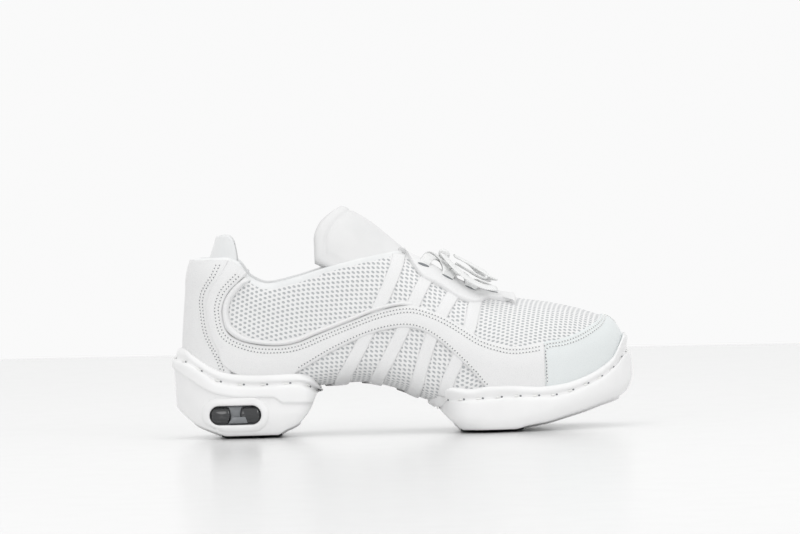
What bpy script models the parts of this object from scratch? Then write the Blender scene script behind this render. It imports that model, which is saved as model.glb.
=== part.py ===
"""Dance sneaker, right shoe, with a split sole.

Metres, +Z up, +X towards the toe and -Y towards the shoe's outer side. Lengths along the shoe run from the rearmost
point of the sole; the whole shoe then hangs on an empty that puts the origin in the middle of the heel's flat spot.
"""

import math
from collections import namedtuple

import bmesh
import bpy
from mathutils import Vector

# Main sizes of the shoe.
LENGTH = 0.270
BALL_WIDTH = 0.095
SEAT_HEIGHT = 0.027
HEEL_HEIGHT = 0.106
INSTEP_HEIGHT = 0.108

# Rounding of the last in plan and at the toe's height.
HEEL_BACK = 0.0062
HEEL_RADIUS = 0.034
HEEL_FULLNESS = 2.1
TOE_GAP = 0.0055
TOE_RADIUS = 0.060
TOE_FULLNESS = 2.2
TOE_NOSE = 0.011
ARCH_LIFT = 0.006
HEEL_LEAN_REACH = 0.060

# Walls and clearances.
CLEARANCE = 0.0003
WALL = 0.0022
COLLAR_PAD = 0.0075
PAD_DEPTH = 0.034
TONGUE_THICKNESS = 0.0045
INSOLE_THICKNESS = 0.003
INSOLE_RIM = 0.0045
LASTING_MARGIN = 0.013

# Overlays: how far each stands off the upper, and the gap between neighbours.
LEATHER = 0.0012
BAND = 0.0019
PIPING = 0.0027
EYESTAY = 0.0026
STRAP = 0.0009
STRAP_WIDTH = 0.0058
SEAM_GAP = 0.0006
LIP_GAP = 0.0010
UNDER_REACH = 0.018
TAB_THICKNESS = 0.0025

# Sole.
LIP_WIDTH = 0.0040
WELT_DEPTH = 0.0018
WINDOW_LENGTH = 0.0300
WINDOW_HEIGHT = 0.0112
WINDOW_RIM = 0.0045
WINDOW_RIM_RISE = 0.0009
WINDOW_DEPTH = 0.0050
WINDOW_SINK = 0.0007
WINDOW_CENTRE = (0.0376, 0.0140)

# Lace: a flat band over the throat, its rows, and the bow's round cords.
LACE_WIDTH = 0.0062
LACE_THICKNESS = 0.0013
LACE_CORD = 0.0042
LACE_RISE = 0.0040
LACE_DIP = 0.0008
LACE_LIFT = 0.0005
EYELET_INSET = 0.0058
LACE_ROWS = (0.696, 0.648, 0.598, 0.548)

# Fineness of the forms.
STATIONS = 22
TURNS = 9
LOOP_POINTS = 36
CURVE_STEPS = 4

Section = namedtuple("Section", "share outer inner swing bottom widest top crown floor")
# Shares of LENGTH; of BALL_WIDTH for outer, inner and swing; of SEAT_HEIGHT for bottom; of INSTEP_HEIGHT for the rest.
# crown and floor are the fullness of the section above and below its widest line.
SECTIONS = (
    Section(0.020, 0.321, 0.316, 0.000, 1.20, 0.481, 1.463, 2.20, 3.6),
    Section(0.074, 0.326, 0.321, 0.000, 1.00, 0.472, 1.463, 2.20, 4.2),
    Section(0.167, 0.326, 0.316, 0.000, 1.00, 0.463, 1.444, 2.20, 4.2),
    Section(0.259, 0.326, 0.305, 0.000, 1.04, 0.454, 1.389, 2.25, 3.6),
    Section(0.352, 0.337, 0.295, 0.000, 1.09, 0.454, 1.282, 2.35, 2.8),
    Section(0.415, 0.353, 0.305, 0.000, 1.12, 0.449, 1.194, 2.45, 2.6),
    Section(0.481, 0.379, 0.337, 0.003, 0.98, 0.440, 1.085, 2.55, 2.8),
    Section(0.556, 0.421, 0.384, 0.008, 0.69, 0.407, 0.935, 2.60, 3.4),
    Section(0.619, 0.453, 0.421, 0.013, 0.54, 0.375, 0.820, 2.45, 4.0),
    Section(0.685, 0.468, 0.447, 0.021, 0.48, 0.343, 0.742, 2.25, 4.2),
    Section(0.756, 0.463, 0.453, 0.037, 0.49, 0.324, 0.707, 2.15, 4.2),
    Section(0.822, 0.442, 0.447, 0.058, 0.585, 0.333, 0.680, 2.30, 4.0),
    Section(0.889, 0.421, 0.437, 0.079, 0.78, 0.366, 0.639, 2.40, 3.6),
    Section(0.941, 0.411, 0.432, 0.095, 1.04, 0.403, 0.594, 2.45, 3.0),
    Section(0.980, 0.400, 0.426, 0.100, 1.30, 0.426, 0.569, 2.45, 2.6),
)

Line = namedtuple("Line", "share height")
# The back seam: shares of HEEL_HEIGHT up the heel, and how far it stands forward of the heel's back, as a share of it.
BACK_SEAM = (
    Line(0.25, 0.020),
    Line(0.37, 0.010),
    Line(0.51, 0.017),
    Line(0.73, 0.035),
    Line(0.83, 0.049),
    Line(0.94, 0.067),
    Line(1.00, 0.083),
    Line(1.15, 0.130),
    Line(1.50, 0.230),
)
# The collar's edge from the heel to the throat: shares of LENGTH, and of HEEL_HEIGHT.
COLLAR = (
    Line(-0.100, 0.985),
    Line(0.055, 1.000),
    Line(0.120, 1.003),
    Line(0.152, 0.980),
    Line(0.180, 0.890),
    Line(0.215, 0.853),
    Line(0.273, 0.880),
    Line(0.343, 0.931),
    Line(0.419, 0.977),
    Line(0.505, 1.017),
)
THROAT_TOP = 0.505
THROAT_END = 0.700
# Half the throat's opening: shares of LENGTH, and of BALL_WIDTH.
THROAT = (
    Line(0.400, 0.270),
    Line(0.505, 0.215),
    Line(0.556, 0.185),
    Line(0.611, 0.160),
    Line(0.667, 0.135),
    Line(0.700, 0.120),
)
# The tongue seen from the side, shares of LENGTH and HEEL_HEIGHT, as its free edge and its hidden lower edge.
TONGUE_TOP = ((0.318, 0.960), (0.318, 1.090), (0.328, 1.165), (0.348, 1.225), (0.375, 1.275), (0.410, 1.330))
TONGUE_FOOT = ((0.765, 0.800), (0.765, 0.640), (0.690, 0.640), (0.610, 0.700), (0.500, 0.790), (0.400, 0.850))

# Seams and edges of the overlays seen from the side: shares of LENGTH and HEEL_HEIGHT.
COUNTER_SEAM = (
    (0.143, 1.120),
    (0.133, 1.000),
    (0.116, 0.896),
    (0.098, 0.833),
    (0.088, 0.787),
    (0.084, 0.734),
    (0.086, 0.658),
    (0.092, 0.573),
    (0.105, 0.493),
    (0.119, 0.429),
    (0.135, 0.320),
)
PANEL_EDGE = (
    (0.205, 0.960),
    (0.180, 0.868),
    (0.161, 0.830),
    (0.144, 0.783),
    (0.134, 0.741),
    (0.131, 0.687),
    (0.136, 0.628),
    (0.148, 0.591),
    (0.171, 0.557),
    (0.222, 0.534),
    (0.264, 0.543),
    (0.319, 0.590),
    (0.389, 0.651),
    (0.444, 0.700),
    (0.500, 0.727),
    (0.542, 0.719),
)
BAND_TOP = (
    (0.192, 0.975),
    (0.168, 0.885),
    (0.148, 0.845),
    (0.131, 0.797),
    (0.121, 0.743),
    (0.118, 0.685),
    (0.123, 0.612),
    (0.137, 0.568),
    (0.164, 0.531),
    (0.222, 0.507),
    (0.270, 0.516),
    (0.319, 0.561),
    (0.389, 0.625),
    (0.444, 0.676),
    (0.500, 0.706),
    (0.542, 0.695),
)
WAVE_CREST = (
    (0.542, 0.695),
    (0.562, 0.683),
    (0.596, 0.637),
    (0.631, 0.582),
    (0.667, 0.522),
    (0.700, 0.489),
    (0.735, 0.467),
    (0.770, 0.469),
    (0.802, 0.482),
)
WAVE_FOOT = (
    (0.255, 0.310),
    (0.270, 0.354),
    (0.305, 0.400),
    (0.347, 0.459),
    (0.389, 0.509),
    (0.430, 0.551),
    (0.472, 0.578),
    (0.514, 0.585),
    (0.548, 0.564),
    (0.583, 0.506),
    (0.617, 0.425),
    (0.652, 0.334),
    (0.680, 0.267),
    (0.700, 0.190),
)
TOE_SEAM = 0.802
TOE_CAP_EDGE = (
    (0.802, 0.482),
    (0.839, 0.497),
    (0.874, 0.522),
    (0.909, 0.564),
    (0.928, 0.593),
    (0.944, 0.640),
    (0.952, 0.720),
)
EYESTAY_EDGE = (
    (0.511, 1.150),
    (0.514, 1.000),
    (0.530, 0.915),
    (0.551, 0.848),
    (0.575, 0.818),
    (0.597, 0.781),
    (0.622, 0.737),
    (0.652, 0.706),
    (0.672, 0.706),
    (0.688, 0.724),
    (0.712, 0.716),
    (0.738, 0.705),
    (0.748, 0.735),
    (0.749, 0.850),
)
# Each support strap's middle line from its foot to its top.
STRAPS = (
    ((0.345, 0.140), (0.370, 0.299), (0.416, 0.503), (0.456, 0.709), (0.484, 0.862), (0.498, 0.960), (0.503, 1.080)),
    ((0.425, 0.140), (0.446, 0.299), (0.474, 0.430), (0.504, 0.574), (0.531, 0.726), (0.551, 0.820), (0.568, 0.880)),
    ((0.500, 0.080), (0.527, 0.243), (0.545, 0.390), (0.564, 0.524), (0.586, 0.646), (0.607, 0.733), (0.624, 0.790)),
    ((0.588, 0.210), (0.600, 0.300), (0.619, 0.400), (0.634, 0.500), (0.649, 0.591), (0.658, 0.684), (0.668, 0.760)),
)
# The tab that stands up inside the heel of the collar.
TAB_EDGE = (
    (0.020, 0.905),
    (0.050, 0.985),
    (0.078, 1.045),
    (0.096, 1.115),
    (0.110, 1.140),
    (0.126, 1.145),
    (0.139, 1.130),
    (0.147, 1.085),
    (0.148, 1.000),
    (0.144, 0.905),
)
Place = namedtuple("Place", "share across rise")
# The bow's cords: shares of LENGTH along, of BALL_WIDTH across and of LACE_CORD above the upper.
LACE_KNOT = (Place(0.577, -0.062, 2.10), Place(0.578, 0.0, 2.25), Place(0.577, 0.062, 2.10))
LOOP_OUTER = (
    Place(0.601, -0.060, 3.10),
    Place(0.618, -0.095, 3.70),
    Place(0.640, -0.125, 4.30),
    Place(0.660, -0.140, 4.45),
    Place(0.678, -0.140, 3.95),
    Place(0.689, -0.120, 3.10),
    Place(0.686, -0.090, 2.35),
    Place(0.668, -0.070, 2.05),
    Place(0.645, -0.055, 2.00),
    Place(0.622, -0.035, 2.00),
    Place(0.607, -0.022, 1.95),
)
LOOP_INNER = (
    Place(0.601, 0.060, 3.10),
    Place(0.615, 0.110, 3.60),
    Place(0.634, 0.160, 4.05),
    Place(0.652, 0.200, 4.10),
    Place(0.668, 0.215, 3.70),
    Place(0.678, 0.205, 3.00),
    Place(0.672, 0.170, 2.30),
    Place(0.655, 0.135, 2.10),
    Place(0.635, 0.095, 2.05),
    Place(0.612, 0.045, 2.00),
)
END_OUTER = (
    Place(0.577, -0.110, 2.10),
    Place(0.590, -0.160, 2.05),
    Place(0.612, -0.200, 2.00),
    Place(0.640, -0.228, 1.95),
    Place(0.670, -0.232, 1.95),
    Place(0.700, -0.212, 1.95),
)
END_INNER = (
    Place(0.577, 0.110, 2.10),
    Place(0.585, 0.170, 2.05),
    Place(0.597, 0.235, 2.00),
    Place(0.612, 0.300, 1.90),
    Place(0.628, 0.350, 1.60),
    Place(0.642, 0.385, 1.40),
)

# The sole's lines seen from the side: shares of LENGTH and SEAT_HEIGHT.
HEEL_LIP = (
    Line(0.000, 1.99),
    Line(0.030, 1.96),
    Line(0.053, 1.80),
    Line(0.084, 1.59),
    Line(0.112, 1.46),
    Line(0.141, 1.395),
    Line(0.194, 1.36),
    Line(0.273, 1.375),
    Line(0.301, 1.32),
    Line(0.317, 1.20),
    Line(0.330, 1.02),
)
HEEL_GROOVE = (
    Line(0.000, 1.79),
    Line(0.042, 1.65),
    Line(0.077, 1.43),
    Line(0.101, 1.28),
    Line(0.136, 1.195),
    Line(0.190, 1.160),
    Line(0.277, 1.180),
    Line(0.301, 1.085),
    Line(0.330, 0.880),
)
HEEL_RIDGE = (
    Line(0.000, 1.560),
    Line(0.042, 1.300),
    Line(0.072, 1.110),
    Line(0.103, 0.980),
    Line(0.159, 0.907),
    Line(0.221, 0.889),
    Line(0.244, 0.767),
    Line(0.330, 0.740),
)
FOREFOOT_LIP = (
    Line(0.550, 0.62),
    Line(0.563, 0.84),
    Line(0.578, 0.97),
    Line(0.599, 1.01),
    Line(0.644, 0.955),
    Line(0.684, 1.003),
    Line(0.721, 1.005),
    Line(0.796, 0.960),
    Line(0.843, 0.996),
    Line(0.888, 1.115),
    Line(0.930, 1.315),
    Line(0.957, 1.530),
    Line(0.970, 1.760),
    Line(0.982, 2.000),
)
FOREFOOT_GROOVE = (
    Line(0.550, 0.36),
    Line(0.570, 0.44),
    Line(0.592, 0.720),
    Line(0.674, 0.752),
    Line(0.739, 0.778),
    Line(0.819, 0.770),
    Line(0.859, 0.844),
    Line(0.895, 0.967),
    Line(0.931, 1.126),
    Line(0.959, 1.318),
    Line(0.985, 1.620),
)
# The underside, with its two flat spots: shares of LENGTH and SEAT_HEIGHT.
UNDERSIDE = (
    Line(-0.020, 1.000),
    Line(0.012, 0.620),
    Line(0.037, 0.390),
    Line(0.056, 0.250),
    Line(0.078, 0.155),
    Line(0.100, 0.070),
    Line(0.120, 0.000),
    Line(0.228, 0.000),
    Line(0.248, 0.110),
    Line(0.273, 0.219),
    Line(0.289, 0.378),
    Line(0.301, 0.541),
    Line(0.320, 0.900),
    Line(0.535, 0.900),
    Line(0.550, 0.560),
    Line(0.574, 0.490),
    Line(0.586, 0.370),
    Line(0.599, 0.240),
    Line(0.614, 0.110),
    Line(0.630, 0.000),
    Line(0.738, 0.000),
    Line(0.767, 0.065),
    Line(0.811, 0.135),
    Line(0.843, 0.219),
    Line(0.895, 0.359),
    Line(0.928, 0.467),
    Line(0.963, 0.567),
    Line(0.990, 0.726),
    Line(1.020, 1.000),
)
HEEL_FLAT = (0.120, 0.228)
# The line that the lower rings follow: level under the heel, and the toe's spring in front.
HEEL_BASE = (Line(0.000, 0.0), Line(1.000, 0.0))
FOREFOOT_BASE = (
    Line(0.500, 0.000),
    Line(0.738, 0.000),
    Line(0.767, 0.065),
    Line(0.811, 0.135),
    Line(0.843, 0.219),
    Line(0.895, 0.359),
    Line(0.928, 0.467),
    Line(0.963, 0.567),
    Line(0.990, 0.726),
    Line(1.020, 1.000),
)

Ring = namedtuple("Ring", "out rear front line drop")
# Rings of a sole unit from the cup's middle to below the ground: outwards from the upper as a share of LIP_WIDTH, the
# rear and front ends as shares of LENGTH, the line that it follows and the drop below that line over WELT_DEPTH.
HEEL_RINGS = (
    Ring(-0.90, 0.037, 0.298, "lip", 0.0),
    Ring(0.55, 0.016, 0.311, "lip", 0.0),
    Ring(0.95, 0.010, 0.320, "lip", 0.7),
    Ring(1.08, 0.006, 0.325, "lip", 1.9),
    Ring(0.72, 0.010, 0.316, "groove", 0.0),
    Ring(1.30, 0.003, 0.327, "groove", 1.2),
    Ring(1.48, 0.002, 0.325, "ridge", -1.0),
    Ring(1.42, 0.003, 0.323, "ridge", -0.1),
    Ring(1.12, 0.007, 0.319, "ridge", 0.9),
    Ring(1.30, 0.012, 0.313, "base", -7.6),
    Ring(1.05, 0.020, 0.303, "base", -4.0),
    Ring(0.45, 0.033, 0.290, "base", -1.1),
    Ring(-0.90, 0.045, 0.278, "base", 1.2),
)
FOREFOOT_RINGS = (
    Ring(-0.60, 0.570, 0.975, "lip", 0.0),
    Ring(0.50, 0.560, 0.986, "lip", 0.0),
    Ring(0.88, 0.554, 0.989, "lip", 0.6),
    Ring(0.95, 0.555, 0.991, "lip", 1.7),
    Ring(0.66, 0.566, 0.988, "groove", 0.0),
    Ring(1.10, 0.572, 0.996, "groove", 1.1),
    Ring(1.18, 0.576, 0.999, "base", -5.0),
    Ring(0.90, 0.586, 0.994, "base", -2.4),
    Ring(0.40, 0.596, 0.985, "base", -0.7),
    Ring(-0.80, 0.608, 0.970, "base", 1.2),
)
HEEL_CORNER = 0.016
FOREFOOT_CORNER = 0.030
FLANK_BLEND = 0.045


def clear_scene():
    for item in list(bpy.data.objects):
        bpy.data.objects.remove(item, do_unlink=True)


def make_material(name, colour, roughness, metallic=0.0):
    material = bpy.data.materials.new(name)
    material.use_nodes = True
    shader = material.node_tree.nodes["Principled BSDF"]
    shader.inputs["Base Color"].default_value = (*colour, 1.0)
    shader.inputs["Roughness"].default_value = roughness
    shader.inputs["Metallic"].default_value = metallic
    return material


def along(rows, share, column="height"):
    """A column's value at a share, on a smooth curve through the rows that doesn't overshoot them."""
    places = [row.share for row in rows]
    values = [getattr(row, column) for row in rows]
    if share <= places[0]:
        return values[0]
    if share >= places[-1]:
        return values[-1]
    steps = [b - a for a, b in zip(places, places[1:])]
    rises = [(b - a) / step for a, b, step in zip(values, values[1:], steps)]
    slopes = [rises[0]]
    for before, after in zip(rises, rises[1:]):
        slopes.append(2 * before * after / (before + after) if before * after > 0 else 0.0)
    slopes.append(rises[-1])
    index = max(k for k in range(len(steps)) if places[k] <= share)
    t = (share - places[index]) / steps[index]
    run = steps[index]
    return (
        values[index] * (1 + 2 * t) * (1 - t) ** 2
        + slopes[index] * run * t * (1 - t) ** 2
        + values[index + 1] * t * t * (3 - 2 * t)
        + slopes[index + 1] * run * t * t * (t - 1)
    )


def smooth_path(points, steps=CURVE_STEPS):
    """Points on a smooth curve through the given ones, with this many steps between two of them."""
    path = []
    last = len(points) - 1
    for i in range(last):
        a = Vector(points[max(i - 1, 0)])
        b = Vector(points[i])
        c = Vector(points[i + 1])
        d = Vector(points[min(i + 2, last)])
        for k in range(steps):
            t = k / steps
            path.append(
                0.5 * (2 * b + (c - a) * t + (2 * a - 5 * b + 4 * c - d) * t**2 + (3 * b - a - 3 * c + d) * t**3)
            )
    path.append(Vector(points[last]))
    return path


def rounding(reach, fullness):
    """From 0 at an end to 1 where the end's rounding is over."""
    inside = 1 - min(max(reach, 0.0), 1.0)
    return (1 - inside**fullness) ** (1 / fullness)


def half_width(x, side):
    """Half the upper's width on one side of its middle line."""
    share = x / LENGTH
    wide = along(SECTIONS, share, "outer" if side < 0 else "inner") * BALL_WIDTH
    heel = rounding((x - HEEL_BACK) / HEEL_RADIUS, HEEL_FULLNESS)
    toe = rounding((LENGTH - TOE_GAP - x) / TOE_RADIUS, TOE_FULLNESS)
    return wide * heel * toe


def middle(x):
    return along(SECTIONS, x / LENGTH, "swing") * BALL_WIDTH


def levels(x):
    """The heights of a section's bottom, widest line and top."""
    share = x / LENGTH
    nose = rounding((LENGTH - TOE_GAP - x) / TOE_NOSE, 2.0)
    bottom = along(SECTIONS, share, "bottom") * SEAT_HEIGHT
    widest = along(SECTIONS, share, "widest") * INSTEP_HEIGHT
    top = along(SECTIONS, share, "top") * INSTEP_HEIGHT
    return widest - (widest - bottom) * nose, widest, widest + (top - widest) * nose


def arch_rise(x):
    """The inner side's arch, from 0 at the heel and the ball to ARCH_LIFT between them."""
    share = x / LENGTH
    return ARCH_LIFT * max(0.0, math.sin(math.pi * (share - 0.26) / 0.34)) ** 2 if 0.26 < share < 0.60 else 0.0


def upper_point(x, turn, side):
    """A point of the upper's outer face: turn goes from -90 degrees under the foot to 90 degrees over it."""
    bottom, widest, top = levels(x)
    share = x / LENGTH
    across, rise = math.cos(turn), abs(math.sin(turn))
    if turn < 0:
        power = 2 / along(SECTIONS, share, "floor")
        y = half_width(x, side) * max(across, 0.0) ** power
        z = widest - (widest - bottom) * rise**power
        if side > 0:
            z += arch_rise(x) * rise * max(across, 0.0) ** power
    else:
        power = 2 / along(SECTIONS, share, "crown")
        y = half_width(x, side) * max(across, 0.0) ** power
        z = widest + (top - widest) * rise**power
    lean = along(BACK_SEAM, z / HEEL_HEIGHT) * HEEL_HEIGHT
    fade = max(0.0, 1 - (x - HEEL_BACK) / HEEL_LEAN_REACH) ** 1.5
    return Vector((x + lean * fade, middle(x) + side * y, z))


def form_mesh(name, grow, inner=None):
    """The last's whole closed form grown by this much, or the skin between that and an inner form."""
    bm = bmesh.new()
    rings = []
    for i in range(STATIONS + 1):
        x = HEEL_BACK + (LENGTH - TOE_GAP - HEEL_BACK) * (1 - math.cos(math.pi * i / STATIONS)) / 2
        ring = []
        for side in (-1, 1):
            for k in range(TURNS):
                turn = math.pi * (k / TURNS - 0.5) * -side
                ring.append(bm.verts.new(upper_point(x, turn, side)))
        rings.append(ring)
    count = 2 * TURNS
    for one, two in zip(rings, rings[1:]):
        for k in range(count):
            after = (k + 1) % count
            bm.faces.new((one[k], two[k], two[after], one[after]))
    bmesh.ops.remove_doubles(bm, verts=bm.verts, dist=1e-5)
    bmesh.ops.dissolve_degenerate(bm, edges=bm.edges, dist=1e-6)
    bmesh.ops.triangulate(bm, faces=bm.faces[:])
    bmesh.ops.recalc_face_normals(bm, faces=bm.faces)
    bm.normal_update()
    normals = [vertex.normal.copy() for vertex in bm.verts]
    places = [vertex.co.copy() for vertex in bm.verts]
    for vertex, place, normal in zip(bm.verts, places, normals):
        vertex.co = place + normal * grow
    if inner is not None:
        bm.verts.index_update()
        sides = [[vertex.index for vertex in face.verts] for face in bm.faces]
        back = [bm.verts.new(place + normal * inner) for place, normal in zip(places, normals)]
        for side in sides:
            bm.faces.new([back[k] for k in reversed(side)])
    mesh = bpy.data.meshes.new(name)
    bm.to_mesh(mesh)
    bm.free()
    return mesh


def plan_outline(out):
    """The upper's outline from above, grown outwards: two lists of points from heel to toe, outer side and inner."""
    sides = []
    for side in (-1, 1):
        path = []
        for i in range(2 * STATIONS + 1):
            x = HEEL_BACK + (LENGTH - TOE_GAP - HEEL_BACK) * (1 - math.cos(math.pi * i / (2 * STATIONS))) / 2
            path.append(Vector((x, middle(x) + side * half_width(x, side))))
        grown = []
        for i, point in enumerate(path):
            before = path[max(i - 1, 0)]
            after = path[min(i + 1, len(path) - 1)]
            along_edge = (after - before).normalized()
            if i == 0:
                along_edge = Vector((0.0, side))
            if i == len(path) - 1:
                along_edge = Vector((0.0, -side))
            grown.append(point + Vector((-along_edge.y, along_edge.x)) * side * out)
        sides.append(grown)
    return sides


def across_at(path, x):
    """The y of an outline at x."""
    if x <= path[0].x:
        return path[0].y
    for a, b in zip(path, path[1:]):
        if a.x <= x <= b.x and b.x > a.x:
            return a.y + (b.y - a.y) * (x - a.x) / (b.x - a.x)
    return path[-1].y


def plan_loop(out, rear, front, rear_corner, front_corner):
    """A closed outline from above between two cross lines, with evenly spaced points.

    A corner of 0 leaves that end to the shoe's own outline, moved to its place over FLANK_BLEND.
    """
    outer, inner = plan_outline(out)
    start = rear if rear_corner else outer[0].x
    end = front if front_corner else outer[-1].x
    samples = 160
    halves = []
    for side, path in ((-1, outer), (1, inner)):
        half = []
        for i in range(samples + 1):
            x = start + (end - start) * (1 - math.cos(math.pi * i / samples)) / 2
            y = across_at(path, x)
            centre = middle(x)
            if rear_corner:
                y = centre + (y - centre) * rounding((x - start) / rear_corner, 3.0)
            if front_corner:
                y = centre + (y - centre) * rounding((end - x) / front_corner, 3.0)
            if not rear_corner:
                x += (rear - start) * max(0.0, 1 - (x - start) / FLANK_BLEND)
            if not front_corner:
                x += (front - end) * max(0.0, 1 - (end - x) / FLANK_BLEND)
            half.append(Vector((x, y)))
        halves.append(half)
    loop = halves[0] + halves[1][::-1][1:-1]
    runs = [0.0]
    for a, b in zip(loop, loop[1:] + loop[:1]):
        runs.append(runs[-1] + (b - a).length)
    even = []
    index = 0
    for k in range(LOOP_POINTS):
        wanted = runs[-1] * k / LOOP_POINTS
        while runs[index + 1] < wanted:
            index += 1
        a = loop[index]
        b = loop[(index + 1) % len(loop)]
        part = (wanted - runs[index]) / max(runs[index + 1] - runs[index], 1e-9)
        even.append(a + (b - a) * part)
    return even


def unit_mesh(name, rings, lines, rear_corner, front_corner, grow=0.0):
    """A sole unit's form before its cup and its underside are cut."""
    bm = bmesh.new()
    rows = []
    for ring in rings:
        loop = plan_loop(
            ring.out * LIP_WIDTH + grow,
            ring.rear * LENGTH - grow,
            ring.front * LENGTH + grow,
            rear_corner,
            front_corner,
        )
        line = lines[ring.line]
        rows.append(
            [
                bm.verts.new((p.x, p.y, along(line, p.x / LENGTH) * SEAT_HEIGHT - ring.drop * WELT_DEPTH))
                for p in loop
            ]
        )
    for one, two in zip(rows, rows[1:]):
        for k in range(LOOP_POINTS):
            after = (k + 1) % LOOP_POINTS
            bm.faces.new((one[k], one[after], two[after], two[k]))
    bm.faces.new(rows[0][::-1])
    bm.faces.new(rows[-1])
    bmesh.ops.triangulate(bm, faces=[f for f in bm.faces if len(f.verts) > 4])
    bmesh.ops.recalc_face_normals(bm, faces=bm.faces)
    mesh = bpy.data.meshes.new(name)
    bm.to_mesh(mesh)
    bm.free()
    return mesh


def prism_mesh(name, outline, low, high, axis):
    """A flat outline, (x, z) for the axis Y or (x, y) for the axis Z, made a bar from low to high along that axis."""
    bm = bmesh.new()
    ends = []
    for level in (low, high):
        ends.append(
            [bm.verts.new((p[0], level, p[1]) if axis == "Y" else (p[0], p[1], level)) for p in outline]
        )
    bm.faces.new(ends[0])
    bm.faces.new(ends[1][::-1])
    count = len(outline)
    for k in range(count):
        after = (k + 1) % count
        bm.faces.new((ends[0][k], ends[1][k], ends[1][after], ends[0][after]))
    bmesh.ops.triangulate(bm, faces=[f for f in bm.faces if len(f.verts) > 4])
    bmesh.ops.recalc_face_normals(bm, faces=bm.faces)
    mesh = bpy.data.meshes.new(name)
    bm.to_mesh(mesh)
    bm.free()
    return mesh


class Shoe:
    """Holds the collections, the empty that everything hangs on, and the shared cutters."""

    def __init__(self):
        self.pieces = bpy.data.collections.new("dance_sneaker")
        self.cutters = bpy.data.collections.new("cutters")
        bpy.context.scene.collection.children.link(self.pieces)
        bpy.context.scene.collection.children.link(self.cutters)
        self.origin = bpy.data.objects.new("heel_spot", None)
        self.origin.location = (-LENGTH * sum(HEEL_FLAT) / 2, 0.0, 0.0)
        self.pieces.objects.link(self.origin)

    def piece(self, name, data, material):
        item = bpy.data.objects.new(name, data)
        item.data.materials.append(material)
        item.parent = self.origin
        self.pieces.objects.link(item)
        return item

    def cutter(self, name, data):
        item = bpy.data.objects.new(name, data)
        item.hide_render = True
        item.display_type = "WIRE"
        item.parent = self.origin
        self.cutters.objects.link(item)
        return item


def cut(item, other, operation="DIFFERENCE"):
    modifier = item.modifiers.new(other.name, "BOOLEAN")
    modifier.operation = operation
    modifier.solver = "EXACT"
    modifier.object = other


def side_outline(points):
    """Shares of LENGTH and HEEL_HEIGHT as places seen from the side."""
    return [Vector((x * LENGTH, z * HEEL_HEIGHT)) for x, z in points]


def make_collar_cutter(shoe):
    high = 2 * HEEL_HEIGHT
    samples = 40
    first, last = COLLAR[0].share, THROAT_TOP
    edge = []
    for i in range(samples + 1):
        share = first + (last - first) * i / samples
        edge.append((share * LENGTH, along(COLLAR, share) * HEEL_HEIGHT))
    outline = edge + [(last * LENGTH, high), (first * LENGTH, high)]
    return shoe.cutter("collar_cutter", prism_mesh("collar_cutter", outline, -BALL_WIDTH, BALL_WIDTH, "Y"))


def throat_half(share):
    """Half the throat's opening, rounded off at its front end."""
    round_off = rounding((THROAT_END - share) * LENGTH / 0.008, 2.0)
    return along(THROAT, share) * BALL_WIDTH * round_off


def make_throat_cutter(shoe):
    samples = 16
    start = 0.42
    sides = []
    for side in (-1, 1):
        half = []
        for i in range(samples + 1):
            share = start + (THROAT_END - start) * math.sin(math.pi / 2 * i / samples)
            x = share * LENGTH
            half.append((x, middle(x) + side * throat_half(share)))
        sides.append(half)
    outline = sides[0] + sides[1][::-1][1:]
    low = 0.55 * HEEL_HEIGHT
    return shoe.cutter("throat_cutter", prism_mesh("throat_cutter", outline, low, 2 * HEEL_HEIGHT, "Z"))


def make_underside_windows(shoe):
    """The two holes in the upper's underside, each a lasting margin inside the edge."""
    spans = (("heel_hole", 0.075, 0.300), ("forefoot_hole", 0.585, 0.925))
    holes = []
    for name, rear, front in spans:
        loop = plan_loop(-LASTING_MARGIN, rear * LENGTH, front * LENGTH, 0.020, 0.020)
        mesh = prism_mesh(name, loop[::2], -SEAT_HEIGHT, 1.75 * SEAT_HEIGHT, "Z")
        holes.append(shoe.cutter(name, mesh))
    return holes


def make_upper(shoe, collar, throat, holes, material):
    """The hollow shell: the wall goes inwards from the form, and grows to the collar's pad round the heel."""
    mesh = form_mesh("upper", 0.0)
    item = shoe.piece("upper", mesh, material)
    pad = item.vertex_groups.new(name="pad")
    for vertex in mesh.vertices:
        x, _, z = vertex.co
        edge = along(COLLAR, x / LENGTH) * HEEL_HEIGHT
        down = min(max(1 - (edge - z) / PAD_DEPTH, 0.0), 1.0)
        forward = min(max((0.30 * LENGTH - x) / (0.08 * LENGTH), 0.0), 1.0)
        weight = (3 * down**2 - 2 * down**3) * (3 * forward**2 - 2 * forward**3)
        pad.add([vertex.index], weight, "REPLACE")
    wall = item.modifiers.new("wall", "SOLIDIFY")
    wall.thickness = COLLAR_PAD
    wall.offset = -1.0
    wall.use_even_offset = False
    wall.vertex_group = "pad"
    wall.thickness_vertex_group = WALL / COLLAR_PAD
    cut(item, collar)
    cut(item, throat)
    for hole in holes:
        cut(item, hole)
    return item


def capsule(length, height, samples=8):
    """A level capsule's outline round the window's middle, seen from the side."""
    x, z = WINDOW_CENTRE
    radius = height / 2
    points = []
    for end, first in ((1, -90), (-1, 90)):
        centre = x + end * (length / 2 - radius)
        for k in range(samples + 1):
            turn = math.radians(first + 180 * k / samples)
            points.append((centre + radius * math.cos(turn), z + radius * math.sin(turn)))
    return points


def window_cutter(shoe, name, length, height):
    return shoe.cutter(name, prism_mesh(name, capsule(length, height), -BALL_WIDTH, -UNDER_REACH, "Y"))


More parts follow.
